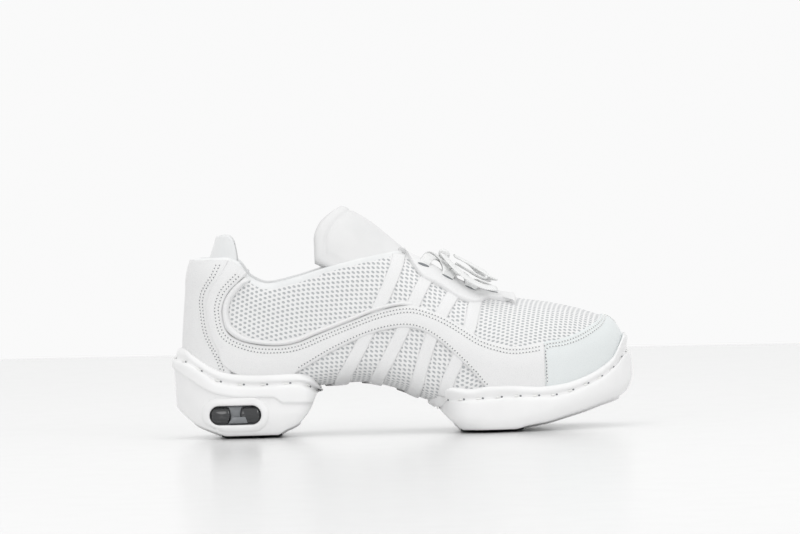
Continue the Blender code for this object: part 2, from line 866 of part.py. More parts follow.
def make_window(shoe, heel, lines, material):
    """The raised rim round the window, the recess in the heel unit and the capsule that fills it."""

    def body(name, grow):
        return unit_mesh(name, HEEL_RINGS, lines, 0.0, HEEL_CORNER, grow)

    rim = shoe.cutter("window_rim", body("window_rim", WINDOW_RIM_RISE))
    cut(rim, window_cutter(shoe, "rim_outline", WINDOW_LENGTH + 2 * WINDOW_RIM, WINDOW_HEIGHT + 2 * WINDOW_RIM), "INTERSECT")
    cut(heel, rim, "UNION")
    recess = window_cutter(shoe, "window_recess", WINDOW_LENGTH, WINDOW_HEIGHT)
    cut(recess, shoe.cutter("recess_floor", body("recess_floor", -WINDOW_DEPTH)))
    cut(heel, recess)
    item = shoe.piece("heel_window", body("heel_window", -WINDOW_SINK), material)
    inner = WINDOW_LENGTH - 2 * CLEARANCE
    cut(item, window_cutter(shoe, "window_outline", inner, WINDOW_HEIGHT - 2 * CLEARANCE), "INTERSECT")
    cut(item, shoe.cutter("window_back", body("window_back", CLEARANCE - WINDOW_DEPTH)))
    return item


def make_soles(shoe, material, glossy):
    grown = shoe.cutter("foot_form", form_mesh("foot_form", CLEARANCE))
    ground = [(row.share * LENGTH, row.height * SEAT_HEIGHT) for row in UNDERSIDE]
    deep = -SEAT_HEIGHT
    outline = ground + [(UNDERSIDE[-1].share * LENGTH, deep), (UNDERSIDE[0].share * LENGTH, deep)]
    floor = shoe.cutter("ground", prism_mesh("ground", outline, -BALL_WIDTH, BALL_WIDTH, "Y"))
    heel_lines = {"lip": HEEL_LIP, "groove": HEEL_GROOVE, "ridge": HEEL_RIDGE, "base": HEEL_BASE}
    fore_lines = {"lip": FOREFOOT_LIP, "groove": FOREFOOT_GROOVE, "base": FOREFOOT_BASE}
    heel = shoe.piece(
        "heel_sole", unit_mesh("heel_sole", HEEL_RINGS, heel_lines, 0.0, HEEL_CORNER), material
    )
    fore = shoe.piece(
        "forefoot_sole", unit_mesh("forefoot_sole", FOREFOOT_RINGS, fore_lines, FOREFOOT_CORNER, 0.0), material
    )
    for item in (heel, fore):
        cut(item, grown)
        cut(item, floor)
    make_window(shoe, heel, heel_lines, glossy)


def make_tongue(shoe, material):
    """The tongue lies inside the upper's wall and rises above its throat."""
    face = -WALL - CLEARANCE
    item = shoe.piece("tongue", form_mesh("tongue", face, face - TONGUE_THICKNESS), material)
    outline = smooth_path(side_outline(TONGUE_TOP)) + smooth_path(side_outline(TONGUE_FOOT))
    cutter = shoe.cutter("tongue_outline", prism_mesh("tongue_outline", outline, -BALL_WIDTH, BALL_WIDTH, "Y"))
    cut(item, cutter, "INTERSECT")
    return item


def make_insole(shoe, material):
    """The footbed: the bottom of the foot's room with a low rim."""
    face = -WALL - CLEARANCE
    item = shoe.piece("insole", form_mesh("insole", face, face - INSOLE_THICKNESS), material)
    samples = 24
    first, last = HEEL_BACK - WALL, LENGTH
    rim = []
    for i in range(samples + 1):
        x = first + (last - first) * i / samples
        bottom = along(SECTIONS, x / LENGTH, "bottom") * SEAT_HEIGHT
        rim.append((x, bottom + INSOLE_RIM))
    outline = rim + [(last, -SEAT_HEIGHT), (first, -SEAT_HEIGHT)]
    cutter = shoe.cutter("insole_outline", prism_mesh("insole_outline", outline, -BALL_WIDTH, BALL_WIDTH, "Y"))
    cut(item, cutter, "INTERSECT")
    return item


def side_cutter(shoe, name, outline, side=0):
    """A pattern piece's outline seen from the side, through the whole shoe or one side of it."""
    low = UNDER_REACH if side > 0 else -BALL_WIDTH
    high = -UNDER_REACH if side < 0 else BALL_WIDTH
    return shoe.cutter(name, prism_mesh(name, outline, low, high, "Y"))


def overlay(shoe, name, material, thickness, outline, side, trims):
    """A piece that lies on the upper: the skin between two larger forms, inside its outline."""
    item = shoe.piece(name, form_mesh(name, CLEARANCE + thickness, CLEARANCE), material)
    cut(item, side_cutter(shoe, name + "_outline", outline, side), "INTERSECT")
    for trim in trims:
        cut(item, trim)
    return item


def shifted(path, along_shoe, up=0.0):
    return [point + Vector((along_shoe, up)) for point in path]


def make_lip_cutter(shoe):
    """Everything below the sole units' lips, which the overlays stop above."""
    outline = []
    for rows, first, last in ((HEEL_LIP, -0.05, 0.330), (FOREFOOT_LIP, 0.550, 1.05)):
        stops = sorted({first, last, *(row.share for row in rows)})
        shares = [share for a, b in zip(stops, stops[1:]) for share in (a, (a + b) / 2)] + [last]
        for share in shares:
            outline.append((share * LENGTH, along(rows, share) * SEAT_HEIGHT + LIP_GAP))
        outline.append((last * LENGTH, -SEAT_HEIGHT))
        outline.append((0.550 * LENGTH if rows is HEEL_LIP else -0.05 * LENGTH, -SEAT_HEIGHT))
    return shoe.cutter("lip_cutter", prism_mesh("lip_cutter", outline, -BALL_WIDTH, BALL_WIDTH, "Y"))


def strap_bars(name, routes, width, side):
    """A bar from each strap's middle line, this wide and as deep as its side of the shoe."""
    levels_across = sorted((side * UNDER_REACH, side * BALL_WIDTH))
    bm = bmesh.new()
    for route in routes:
        path = side_outline(route)
        rings = []
        for i, point in enumerate(path):
            run = (path[min(i + 1, len(path) - 1)] - path[max(i - 1, 0)]).normalized()
            across = Vector((run.y, -run.x)) * width / 2
            corners = [(p, y) for y in levels_across for p in (point - across, point + across)]
            rings.append([bm.verts.new((p.x, y, p.y)) for p, y in (corners[0], corners[1], corners[3], corners[2])])
        for one, two in zip(rings, rings[1:]):
            for k in range(4):
                after = (k + 1) % 4
                bm.faces.new((one[k], one[after], two[after], two[k]))
        bm.faces.new(rings[0][::-1])
        bm.faces.new(rings[-1])
    bmesh.ops.recalc_face_normals(bm, faces=bm.faces)
    mesh = bpy.data.meshes.new(name)
    bm.to_mesh(mesh)
    bm.free()
    return mesh


def make_straps(shoe, material, collar, lips):
    """The support straps of both sides, and for each side the grooves that the pieces over them need."""
    grooves = []
    for side, word in ((-1, "outer"), (1, "inner")):
        for k, route in enumerate(STRAPS):
            name = f"strap_{word}_{k + 1}"
            item = shoe.piece(name, form_mesh(name, CLEARANCE + STRAP, CLEARANCE), material)
            bar = shoe.cutter(name + "_bar", strap_bars(name + "_bar", [route], STRAP_WIDTH, side))
            cut(item, bar, "INTERSECT")
            if k == 0:
                cut(item, collar)
            if k == 3:
                cut(item, lips)
        name = f"grooves_{word}"
        groove = shoe.cutter(name, form_mesh(name, STRAP + 2 * CLEARANCE, -CLEARANCE))
        bars = strap_bars(name + "_bars", STRAPS, STRAP_WIDTH + 2 * CLEARANCE, side)
        cut(groove, shoe.cutter(name + "_bars", bars), "INTERSECT")
        grooves.append(groove)
    return grooves


def make_counter(shoe, material, collar, lips):
    seam = shifted(side_outline(COUNTER_SEAM), -SEAM_GAP / 2)
    rear = -0.05 * LENGTH
    outline = seam + [Vector((rear, seam[-1].y)), Vector((rear, seam[0].y))]
    overlay(shoe, "heel_counter", material, LEATHER, outline, 0, [collar, lips])


def make_wave_bands(shoe, material, collar, lips, grooves):
    """The leather that starts as a C at the heel, goes forward in a wave and ends as the mudguard of the forefoot."""
    seam = shifted(side_outline(COUNTER_SEAM), SEAM_GAP / 2)
    top = side_outline(BAND_TOP + WAVE_CREST[1:])
    top[-1].x -= SEAM_GAP / 2
    foot = side_outline(WAVE_FOOT)
    corner = Vector((top[-1].x, foot[-1].y))
    outline = [Vector((top[0].x, seam[0].y))] + top + [corner] + foot[::-1] + seam[::-1]
    for side, word, groove in ((-1, "outer", grooves[0]), (1, "inner", grooves[1])):
        overlay(shoe, f"wave_band_{word}", material, BAND, outline, side, [collar, lips, groove])


def make_piping(shoe, material, collar, grooves):
    """The raised roll between the heel's mesh panel and the band."""
    upper_edge = side_outline(PANEL_EDGE)
    lower_edge = side_outline(BAND_TOP)
    moved = []
    for i, point in enumerate(lower_edge):
        run = (lower_edge[min(i + 1, len(lower_edge) - 1)] - lower_edge[max(i - 1, 0)]).normalized()
        moved.append(point + Vector((-run.y, run.x)) * CLEARANCE)
    outline = upper_edge + moved[::-1]
    for side, word, groove in ((-1, "outer", grooves[0]), (1, "inner", grooves[1])):
        overlay(shoe, f"piping_{word}", material, PIPING, outline, side, [collar, groove])


def make_toe_cap(shoe, material, lips):
    edge = side_outline(TOE_CAP_EDGE)
    edge[0].x += SEAM_GAP / 2
    front = 1.05 * LENGTH
    outline = edge + [Vector((front, edge[-1].y)), Vector((front, 0.0)), Vector((edge[0].x, 0.0))]
    overlay(shoe, "toe_cap", material, LEATHER, outline, 0, [lips])


def make_eyestay(shoe, material, throat, grooves):
    outline = side_outline(EYESTAY_EDGE)
    overlay(shoe, "eyestay", material, EYESTAY, outline, 0, [throat] + grooves)


def make_heel_tab(shoe, material):
    """The tab inside the padded collar, standing up over it at the heel."""
    face = -COLLAR_PAD - CLEARANCE
    item = shoe.piece("heel_tab", form_mesh("heel_tab", face, face - TAB_THICKNESS), material)
    outline = side_outline(TAB_EDGE)
    cut(item, side_cutter(shoe, "heel_tab_outline", outline), "INTERSECT")


def crown_point(x, across, rise):
    """A point over the upper's top face, this far across from its middle line, with the face's normal there."""

    def face(x_at, across_at_x):
        _, widest, top = levels(x_at)
        power = along(SECTIONS, x_at / LENGTH, "crown")
        reach = min(abs(across_at_x) / half_width(x_at, -1 if across_at_x < 0 else 1), 0.98)
        return Vector((x_at, middle(x_at) + across_at_x, widest + (top - widest) * (1 - reach**power) ** (1 / power)))

    step = 0.0005
    place = face(x, across)
    normal = (face(x + step, across) - place).cross(face(x, across + step) - place).normalized()
    return place + normal * rise, normal


def ribbon(bm, first, last, lift, samples=5):
    """A flat band over the throat between two eyelets, each given as a share of LENGTH and a side.

    It runs a little past both, and lift raises one band of a crossing over the other.
    """
    rows = []
    ends = []
    for share, side in (first, last):
        ends.append(Vector((share * LENGTH, side * (throat_half(share) + EYELET_INSET))))
    for k in range(samples + 1):
        t = k / samples
        flat = ends[0].lerp(ends[1], 1.06 * t - 0.03)
        rise = LACE_RISE + lift - LACE_DIP * math.sin(math.pi * t) ** 2
        rows.append(crown_point(flat.x, flat.y, rise))
    rings = []
    for k, (place, normal) in enumerate(rows):
        run = rows[min(k + 1, samples)][0] - rows[max(k - 1, 0)][0]
        across = run.cross(normal).normalized() * LACE_WIDTH / 2
        up = normal * LACE_THICKNESS
        rings.append([bm.verts.new(place + p) for p in (-across, across, across + up, up - across)])
    for one, two in zip(rings, rings[1:]):
        for k in range(4):
            after = (k + 1) % 4
            bm.faces.new((one[k], one[after], two[after], two[k]))
    bm.faces.new(rings[0][::-1])
    bm.faces.new(rings[-1])


def make_lace_bars(shoe, material):
    """The lace's front bar and its crossings, joined into one solid."""
    spans = [((LACE_ROWS[0], -1), (LACE_ROWS[0], 1))]
    for one, two in zip(LACE_ROWS, LACE_ROWS[1:]):
        spans.append(((one, -1), (two, 1)))
        spans.append(((one, 1), (two, -1)))
    item = None
    for k, (first, last) in enumerate(spans):
        bm = bmesh.new()
        ribbon(bm, first, last, LACE_LIFT * (k % 2))
        bmesh.ops.recalc_face_normals(bm, faces=bm.faces)
        name = "lace_bars" if k == 0 else f"lace_span_{k}"
        mesh = bpy.data.meshes.new(name)
        bm.to_mesh(mesh)
        bm.free()
        if k == 0:
            item = shoe.piece(name, mesh, material)
        else:
            cut(item, shoe.cutter(name, mesh), "UNION")


def make_cord(shoe, name, route, diameter, material):
    """A round cord through its route over the upper, with closed ends."""
    places = [crown_point(p.share * LENGTH, p.across * BALL_WIDTH, p.rise * LACE_CORD)[0] for p in route]
    path = smooth_path(places, 1)
    curve = bpy.data.curves.new(name, "CURVE")
    curve.dimensions = "3D"
    curve.bevel_depth = diameter / 2
    curve.bevel_resolution = 2
    curve.use_fill_caps = True
    spline = curve.splines.new("POLY")
    spline.points.add(len(path) - 1)
    for point, place in zip(spline.points, path):
        point.co = (*place, 1.0)
    shoe.piece(name, curve, material)


def make_bow(shoe, material):
    make_cord(shoe, "lace_knot", LACE_KNOT, 1.6 * LACE_CORD, material)
    make_cord(shoe, "lace_loop_outer", LOOP_OUTER, LACE_CORD, material)
    make_cord(shoe, "lace_loop_inner", LOOP_INNER, LACE_CORD, material)
    make_cord(shoe, "lace_end_outer", END_OUTER, LACE_CORD, material)
    make_cord(shoe, "lace_end_inner", END_INNER, LACE_CORD, material)


def main():
    clear_scene()
    shoe = Shoe()
    mesh_cloth = make_material("white_mesh", (0.80, 0.80, 0.79), 0.8)
    sole_foam = make_material("white_sole", (0.85, 0.85, 0.83), 0.45)
    lining = make_material("white_lining", (0.82, 0.82, 0.81), 0.85)
    leather = make_material("white_leather", (0.76, 0.76, 0.75), 0.5)
    lace = make_material("white_lace", (0.84, 0.84, 0.83), 0.75)
    glossy = make_material("dark_capsule", (0.03, 0.03, 0.035), 0.12)
    collar = make_collar_cutter(shoe)
    throat = make_throat_cutter(shoe)
    holes = make_underside_windows(shoe)
    make_upper(shoe, collar, throat, holes, mesh_cloth)
    make_soles(shoe, sole_foam, glossy)
    make_tongue(shoe, mesh_cloth)
    make_insole(shoe, lining)
    lips = make_lip_cutter(shoe)
    grooves = make_straps(shoe, leather, collar, lips)
    make_counter(shoe, leather, collar, lips)
    make_wave_bands(shoe, leather, collar, lips, grooves)
    make_piping(shoe, leather, collar, grooves)
    make_toe_cap(shoe, leather, lips)
    make_eyestay(shoe, leather, throat, grooves)
    make_heel_tab(shoe, lining)
    make_lace_bars(shoe, lace)
    make_bow(shoe, lace)


main()
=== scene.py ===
"""Looks of the white split-sole dance sneaker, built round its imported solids.

Metres, +Z up, +X towards the toe, -Y towards the outer side. Sizes are the shoe's own, measured from the rearmost
point of its sole; a piece's mesh is moved back by HEEL_SPOT, so that it stands where the solids stand.
"""

import logging
import math
from dataclasses import dataclass, field
from enum import Enum
from typing import Callable, Iterable, Sequence

import bmesh
import bpy
import numpy as np
from mathutils import Matrix, Vector

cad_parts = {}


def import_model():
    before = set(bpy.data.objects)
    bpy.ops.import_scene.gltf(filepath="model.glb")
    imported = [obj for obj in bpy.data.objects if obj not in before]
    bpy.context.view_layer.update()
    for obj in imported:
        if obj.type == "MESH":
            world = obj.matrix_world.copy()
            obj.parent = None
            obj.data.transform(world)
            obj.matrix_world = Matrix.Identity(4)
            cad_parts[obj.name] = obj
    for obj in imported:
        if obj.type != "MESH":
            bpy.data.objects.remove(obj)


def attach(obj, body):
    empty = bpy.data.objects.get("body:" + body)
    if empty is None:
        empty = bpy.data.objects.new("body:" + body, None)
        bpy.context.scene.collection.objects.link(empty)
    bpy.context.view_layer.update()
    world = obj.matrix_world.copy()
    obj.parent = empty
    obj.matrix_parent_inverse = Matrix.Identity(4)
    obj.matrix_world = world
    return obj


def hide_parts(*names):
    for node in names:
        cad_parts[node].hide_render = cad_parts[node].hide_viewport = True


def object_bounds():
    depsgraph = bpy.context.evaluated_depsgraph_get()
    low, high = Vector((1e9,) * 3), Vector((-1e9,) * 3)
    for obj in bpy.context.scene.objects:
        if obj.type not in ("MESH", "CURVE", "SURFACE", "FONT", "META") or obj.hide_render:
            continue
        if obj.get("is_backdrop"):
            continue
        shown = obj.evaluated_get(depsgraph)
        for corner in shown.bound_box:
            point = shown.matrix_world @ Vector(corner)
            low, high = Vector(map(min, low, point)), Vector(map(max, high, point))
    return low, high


LOG = logging.getLogger("sneaker")

LENGTH = 0.270
BALL_WIDTH = 0.095
SEAT_HEIGHT = 0.027
HEEL_HEIGHT = 0.106
INSTEP_HEIGHT = 0.108
HEEL_SPOT = 0.174 * LENGTH
WALL = 0.0022
COLLAR_PAD = 0.0075
PAD_DEPTH = 0.034
PAD_SWELL = 0.0011
PAD_SEAT = 0.011
PAD_SPREAD = 0.009
LIP_WIDTH = 0.0040
WELT_DEPTH = 0.0018
MM = 0.001
HEEL_CROWD = 1.7
SAME_PLACE = 2e-6
NO_LENGTH = 1e-7


class Side(Enum):
    """A side of the shoe, with the sign of its Y."""

    OUTER = -1
    INNER = 1

    @property
    def word(self) -> str:
        """The side's name in the names of pieces."""
        return self.name.lower()


@dataclass(frozen=True)
class Line:
    """A smooth line through a table's rows, (share, value), that doesn't overshoot them."""

    rows: tuple[tuple[float, float], ...]

    def at(self, where: np.ndarray | float) -> np.ndarray:
        """The line's value.

        Args:
            where: Shares at which it is wanted.

        Returns:
            The values, of the same shape.
        """
        table = np.asarray(self.rows, float)
        places, values = table[:, 0], table[:, 1]
        steps = np.diff(places)
        rises = np.diff(values) / steps
        slopes = np.zeros_like(values)
        slopes[0], slopes[-1] = rises[0], rises[-1]
        product = rises[:-1] * rises[1:]
        total = rises[:-1] + rises[1:]
        slopes[1:-1] = np.where(product > 0, 2 * product / np.where(total == 0, 1, total), 0)
        share = np.clip(np.asarray(where, float), places[0], places[-1])
        k = np.clip(np.searchsorted(places, share, side="right") - 1, 0, len(steps) - 1)
        run = steps[k]
        t = (share - places[k]) / run
        return (
            values[k] * (1 + 2 * t) * (1 - t) ** 2
            + slopes[k] * run * t * (1 - t) ** 2
            + values[k + 1] * t * t * (3 - 2 * t)
            + slopes[k + 1] * run * t * t * (t - 1)
        )


def ease(value: np.ndarray | float) -> np.ndarray:
    """A soft step from 0 to 1 of a value that is cut to 0..1."""
    t = np.clip(value, 0.0, 1.0)
    return t * t * (3 - 2 * t)


def rounding(reach: np.ndarray, fullness: float) -> np.ndarray:
    """From 0 at an end to 1 where the end's rounding is over."""
    inside = 1 - np.clip(reach, 0.0, 1.0)
    return (1 - inside**fullness) ** (1 / fullness)


def smooth(points: Sequence[Sequence[float]], steps: int) -> np.ndarray:
    """Points on a smooth curve through the given ones.

    Args:
        points: Rows of coordinates.
        steps: Steps between two of them.

    Returns:
        The denser rows.
    """
    rows = np.asarray(points, float)
    padded = np.vstack([2 * rows[0] - rows[1], rows, 2 * rows[-1] - rows[-2]])
    out = []
    for i in range(len(rows) - 1):
        a, b, c, d = padded[i : i + 4]
        bend, twist = 2 * a - 5 * b + 4 * c - d, 3 * b - a - 3 * c + d
        for k in range(steps):
            t = k / steps
            out.append(0.5 * (2 * b + (c - a) * t + bend * t**2 + twist * t**3))
    out.append(rows[-1])
    return np.asarray(out)


def run_along(points: np.ndarray, axis: int = 0) -> np.ndarray:
    """Distances run from the first point along an axis."""
    return np.insert(np.cumsum(np.linalg.norm(np.diff(points, axis=axis), axis=-1), axis=axis), 0, 0.0, axis=axis)


def crowded(count: int) -> np.ndarray:
    """Shares from 0 to 1 that stand closer at both ends."""
    return (1 - np.cos(np.linspace(0, np.pi, count))) / 2


def domed(distance: np.ndarray, radius: np.ndarray | float) -> np.ndarray:
    """A quarter circle's rise: 0 at an edge, 1 past the radius."""
    return np.sqrt(np.clip(1 - (1 - np.clip(distance / radius, 0, 1)) ** 2, 0, 1))


def ripple(distance: np.ndarray, seat: float, width: float) -> np.ndarray:
    """A soft furrow's share of its depth, 1 at its seat."""
    return np.exp(-(((distance - seat) / width) ** 2))


def evened(rows: np.ndarray, count: int, measure: np.ndarray | None = None) -> np.ndarray:
    """Rows resampled at even distances.

    Args:
        rows: Rows of coordinates.
        count: Rows wanted.
        measure: Points whose distances count instead of the rows' own.

    Returns:
        The new rows.
    """
    base = rows if measure is None else measure
    runs = run_along(base)
    wanted = np.linspace(0, runs[-1], count)
    return np.stack([np.interp(wanted, runs, rows[:, k]) for k in range(rows.shape[1])], axis=1)


def unit(vectors: np.ndarray) -> np.ndarray:
    """The vectors at length one."""
    return vectors / np.maximum(np.linalg.norm(vectors, axis=-1, keepdims=True), 1e-12)


@dataclass(frozen=True)
class Section:
    """A cross-section of the last: shares of the shoe's named sizes."""

    share: float
    outer: float
    inner: float
    swing: float
    bottom: float
    widest: float
    top: float
    crown: float
    floor: float


class Last:
    """The shoe's form: the same function and tables as the solids have, read as finely as a piece needs."""

    heel_back = 0.0062
    toe_gap = 0.0055
    heel_round, heel_fullness = 0.034, 2.1
    toe_round, toe_fullness = 0.060, 2.2
    nose_round = 0.011
    lean_reach = 0.060
    arch_from, arch_to, arch_lift = 0.26, 0.60, 0.006
    throat_round = 0.008
    station_count, turn_count = 260, 721
    sections = (
        Section(0.020, 0.321, 0.316, 0.000, 1.20, 0.481, 1.463, 2.20, 3.6),
        Section(0.074, 0.326, 0.321, 0.000, 1.00, 0.472, 1.463, 2.20, 4.2),
        Section(0.167, 0.326, 0.316, 0.000, 1.00, 0.463, 1.444, 2.20, 4.2),
        Section(0.259, 0.326, 0.305, 0.000, 1.04, 0.454, 1.389, 2.25, 3.6),
        Section(0.352, 0.337, 0.295, 0.000, 1.09, 0.454, 1.282, 2.35, 2.8),
        Section(0.415, 0.353, 0.305, 0.000, 1.12, 0.449, 1.194, 2.45, 2.6),
        Section(0.481, 0.379, 0.337, 0.003, 0.98, 0.440, 1.085, 2.55, 2.8),
        Section(0.556, 0.421, 0.384, 0.008, 0.69, 0.407, 0.935, 2.60, 3.4),
        Section(0.619, 0.453, 0.421, 0.013, 0.54, 0.375, 0.820, 2.45, 4.0),
        Section(0.685, 0.468, 0.447, 0.021, 0.48, 0.343, 0.742, 2.25, 4.2),
        Section(0.756, 0.463, 0.453, 0.037, 0.49, 0.324, 0.707, 2.15, 4.2),
        Section(0.822, 0.442, 0.447, 0.058, 0.585, 0.333, 0.680, 2.30, 4.0),
        Section(0.889, 0.421, 0.437, 0.079, 0.78, 0.366, 0.639, 2.40, 3.6),
        Section(0.941, 0.411, 0.432, 0.095, 1.04, 0.403, 0.594, 2.45, 3.0),
        Section(0.980, 0.400, 0.426, 0.100, 1.30, 0.426, 0.569, 2.45, 2.6),
    )
    back_seam = Line(
        ((0.25, 0.020), (0.37, 0.010), (0.51, 0.017), (0.73, 0.035), (0.83, 0.049), (0.94, 0.067), (1.00, 0.083))
        + ((1.15, 0.130), (1.50, 0.230))
    )
    collar = Line(
        ((-0.100, 0.985), (0.055, 1.000), (0.120, 1.003), (0.152, 0.980), (0.180, 0.890), (0.215, 0.853))
        + ((0.273, 0.880), (0.343, 0.931), (0.419, 0.977), (0.505, 1.017))
    )
    throat = Line(((0.400, 0.270), (0.505, 0.215), (0.556, 0.185), (0.611, 0.160), (0.667, 0.135), (0.700, 0.120)))
    throat_end = 0.700

    def __init__(self) -> None:
        """Reads the columns and measures the girths."""
        self.columns = {
            name: Line(tuple((row.share, getattr(row, name)) for row in self.sections))
            for name in ("outer", "inner", "swing", "bottom", "widest", "top", "crown", "floor")
        }
        self.first, self.last = self.heel_back, LENGTH - self.toe_gap
        self.stations = self.first + (self.last - self.first) * crowded(self.station_count)
        self.turns = np.linspace(-np.pi, np.pi, self.turn_count)
        lengths = run_along(self.point(self.stations[:, None], self.turns[None, :]), 1)
        crown = self.turn_count // 2
        signed = lengths - lengths[:, crown : crown + 1]
        self.half_girths = np.maximum(np.stack([-signed[:, 0], signed[:, -1]], axis=1), 1e-9)
        self.shares = np.where(signed < 0, signed / self.half_girths[:, :1], signed / self.half_girths[:, 1:])
        self.even = np.linspace(-1, 1, self.turn_count)
        self.turn_table = np.stack([np.interp(self.even, row, self.turns) for row in self.shares])

    def column(self, name: str, x: np.ndarray) -> np.ndarray:
        """A column of the sections at a place along the shoe."""
        return self.columns[name].at(np.asarray(x) / LENGTH)

    def half_width(self, x: np.ndarray, side: np.ndarray) -> np.ndarray:
        """Half the upper's width on one side of its middle line.

        Args:
            x: Stations along the shoe.
            side: Negative for the outer side, else the inner.

        Returns:
            The half widths in metres.
        """
        wide = np.where(side < 0, self.column("outer", x), self.column("inner", x)) * BALL_WIDTH
        heel = rounding((x - self.first) / self.heel_round, self.heel_fullness)
        toe = rounding((self.last - x) / self.toe_round, self.toe_fullness)
        return wide * heel * toe

    def middle(self, x: np.ndarray) -> np.ndarray:
        """The y of the middle line."""
        return self.column("swing", x) * BALL_WIDTH

    def levels(self, x: np.ndarray) -> tuple[np.ndarray, np.ndarray, np.ndarray]:
        """The heights of a section's bottom, widest line and top.

        Args:
            x: Stations along the shoe.

        Returns:
            The three heights in metres.
        """
        nose = rounding((self.last - x) / self.nose_round, 2.0)
        bottom = self.column("bottom", x) * SEAT_HEIGHT
        widest = self.column("widest", x) * INSTEP_HEIGHT
        top = self.column("top", x) * INSTEP_HEIGHT
        return widest - (widest - bottom) * nose, widest, widest + (top - widest) * nose

    def lean(self, x: np.ndarray, z: np.ndarray) -> np.ndarray:
        """How far forward the heel leans at a height."""
        fade = np.maximum(0.0, 1 - (x - self.first) / self.lean_reach) ** 1.5
        return self.back_seam.at(z / HEEL_HEIGHT) * HEEL_HEIGHT * fade

    def point(self, x: np.ndarray, turn: np.ndarray) -> np.ndarray:
        """Points of the form's face.

        Args:
            x: Stations along the shoe.
            turn: Angles from the crown, 0, to the bottom, -pi over the outer side and pi over the inner.

        Returns:
            The points, with a last axis of three.
        """
        x, turn = np.broadcast_arrays(np.asarray(x, float), np.asarray(turn, float))
        side = np.where(turn < 0, -1.0, 1.0)
        lift = np.pi / 2 - np.abs(turn)
        bottom, widest, top = self.levels(x)
        across, rise = np.clip(np.cos(lift), 0, 1), np.abs(np.sin(lift))
        low = lift < 0
        power = 2 / np.where(low, self.column("floor", x), self.column("crown", x))
        y = self.half_width(x, side) * across**power
        z = np.where(low, widest - (widest - bottom) * rise**power, widest + (top - widest) * rise**power)
        along = np.clip((x / LENGTH - self.arch_from) / (self.arch_to - self.arch_from), 0, 1)
        arch = np.sin(np.pi * along) ** 2 * self.arch_lift
        z = z + np.where(low & (side > 0), arch * rise * across**power, 0)
        return np.stack([x + self.lean(x, z), self.middle(x) + side * y, z], axis=-1)

    def normal(self, x: np.ndarray, turn: np.ndarray) -> np.ndarray:
        """The outward normals of the same points.

        Args:
            x: Stations along the shoe.
            turn: Angles from the crown.

        Returns:
            The normals at length one.
        """
        x, turn = np.broadcast_arrays(np.asarray(x, float), np.asarray(turn, float))
        step, spin = 2e-4, 4e-3
        before = np.clip(x - step, self.first, self.last - 3 * step)
        after = np.clip(x + step, self.first + 2 * step, self.last - step)
        here = np.clip(x, self.first + step / 2, self.last - 1.5 * step)
        side = np.where(turn < 0, -1.0, 1.0)
        held = side * np.clip(np.abs(turn), 1e-9, np.pi - 1e-9)
        along = self.point(after, held) - self.point(before, held)
        ahead, behind = np.clip(turn + spin, -np.pi, np.pi), np.clip(turn - spin, -np.pi, np.pi)
        return unit(np.cross(along, self.point(here, ahead) - self.point(here, behind)))

    def turn(self, x: np.ndarray, share: np.ndarray) -> np.ndarray:
        """The angle at a share of the girth, -1 to 1 from the outer bottom over the crown to the inner bottom.

        Args:
            x: Stations along the shoe.
            share: Shares of the girth.

        Returns:
            The angles from the crown.
        """
        row = np.clip(np.interp(x, self.stations, np.arange(len(self.stations))), 0, len(self.stations) - 1.001)
        col = np.clip((np.clip(share, -1, 1) + 1) / 2 * (len(self.even) - 1), 0, len(self.even) - 1.001)
        i, j = row.astype(int), col.astype(int)
        a, b = row - i, col - j
        table = self.turn_table
        near = table[i, j] * (1 - b) + table[i, j + 1] * b
        far = table[i + 1, j] * (1 - b) + table[i + 1, j + 1] * b
        return near * (1 - a) + far * a

    def girth(self, x: np.ndarray, side: np.ndarray) -> np.ndarray:
        """The girth from the crown to the bottom on one side.

        Args:
            x: Stations along the shoe.
            side: Negative for the outer side, else the inner.

        Returns:
            The girths in metres.
        """
        outer = np.interp(x, self.stations, self.half_girths[:, 0])
        inner = np.interp(x, self.stations, self.half_girths[:, 1])
        return np.where(np.asarray(side) < 0, outer, inner)

    def share_of(self, x: float, turn: float) -> float:
        """The share of the girth at an angle.

        Args:
            x: The station.
            turn: The angle from the crown.

        Returns:
            The share, -1 to 1.
        """
        count = len(self.stations)
        row = min(max(float(np.interp(x, self.stations, np.arange(count))), 0), count - 1.001)
        i = int(row)
        near = np.interp(turn, self.turns, self.shares[i])
        far = np.interp(turn, self.turns, self.shares[i + 1])
        return float(near + (far - near) * (row - i))

    def shares_of(self, x: np.ndarray, turn: np.ndarray) -> np.ndarray:
        """The shares of the girth of a grid's points."""
        return np.vectorize(self.share_of)(x, turn)

    def turn_of(self, x: np.ndarray, z: np.ndarray, side: int) -> np.ndarray:
        """The angle at a height on one side.

        Args:
            x: Stations along the shoe.
            z: Heights.
            side: -1 for the outer side, 1 for the inner.

        Returns:
            The angles from the crown.
        """
        bottom, widest, top = self.levels(x)
        low = z < widest
        high = np.clip((z - widest) / np.maximum(top - widest, 1e-9), 0, 1) ** (self.column("crown", x) / 2)
        deep = np.clip((widest - z) / np.maximum(widest - bottom, 1e-9), 0, 1) ** (self.column("floor", x) / 2)
        lift = np.where(low, -np.arcsin(deep), np.arcsin(high))
        return side * (np.pi / 2 - lift)

    def station_of(self, x_seen: np.ndarray, z: np.ndarray) -> np.ndarray:
        """The station whose face shows at an x and a height, which the heel's lean moves apart.

        Args:
            x_seen: Where it shows from the side.
            z: Heights.

        Returns:
            The stations.
        """
        x = np.asarray(x_seen, float).copy()
        for _ in range(8):
            x = np.maximum(x_seen - self.lean(x, z), self.first)
        return x

    def from_side(self, x_seen: float, z: float, side: Side) -> tuple[float, float]:
        """A place seen from the side as (station, share of the girth)."""
        x = float(self.station_of(np.asarray(x_seen), np.asarray(z)))
        return x, self.share_of(x, float(self.turn_of(np.asarray(x), np.asarray(z), side.value)))

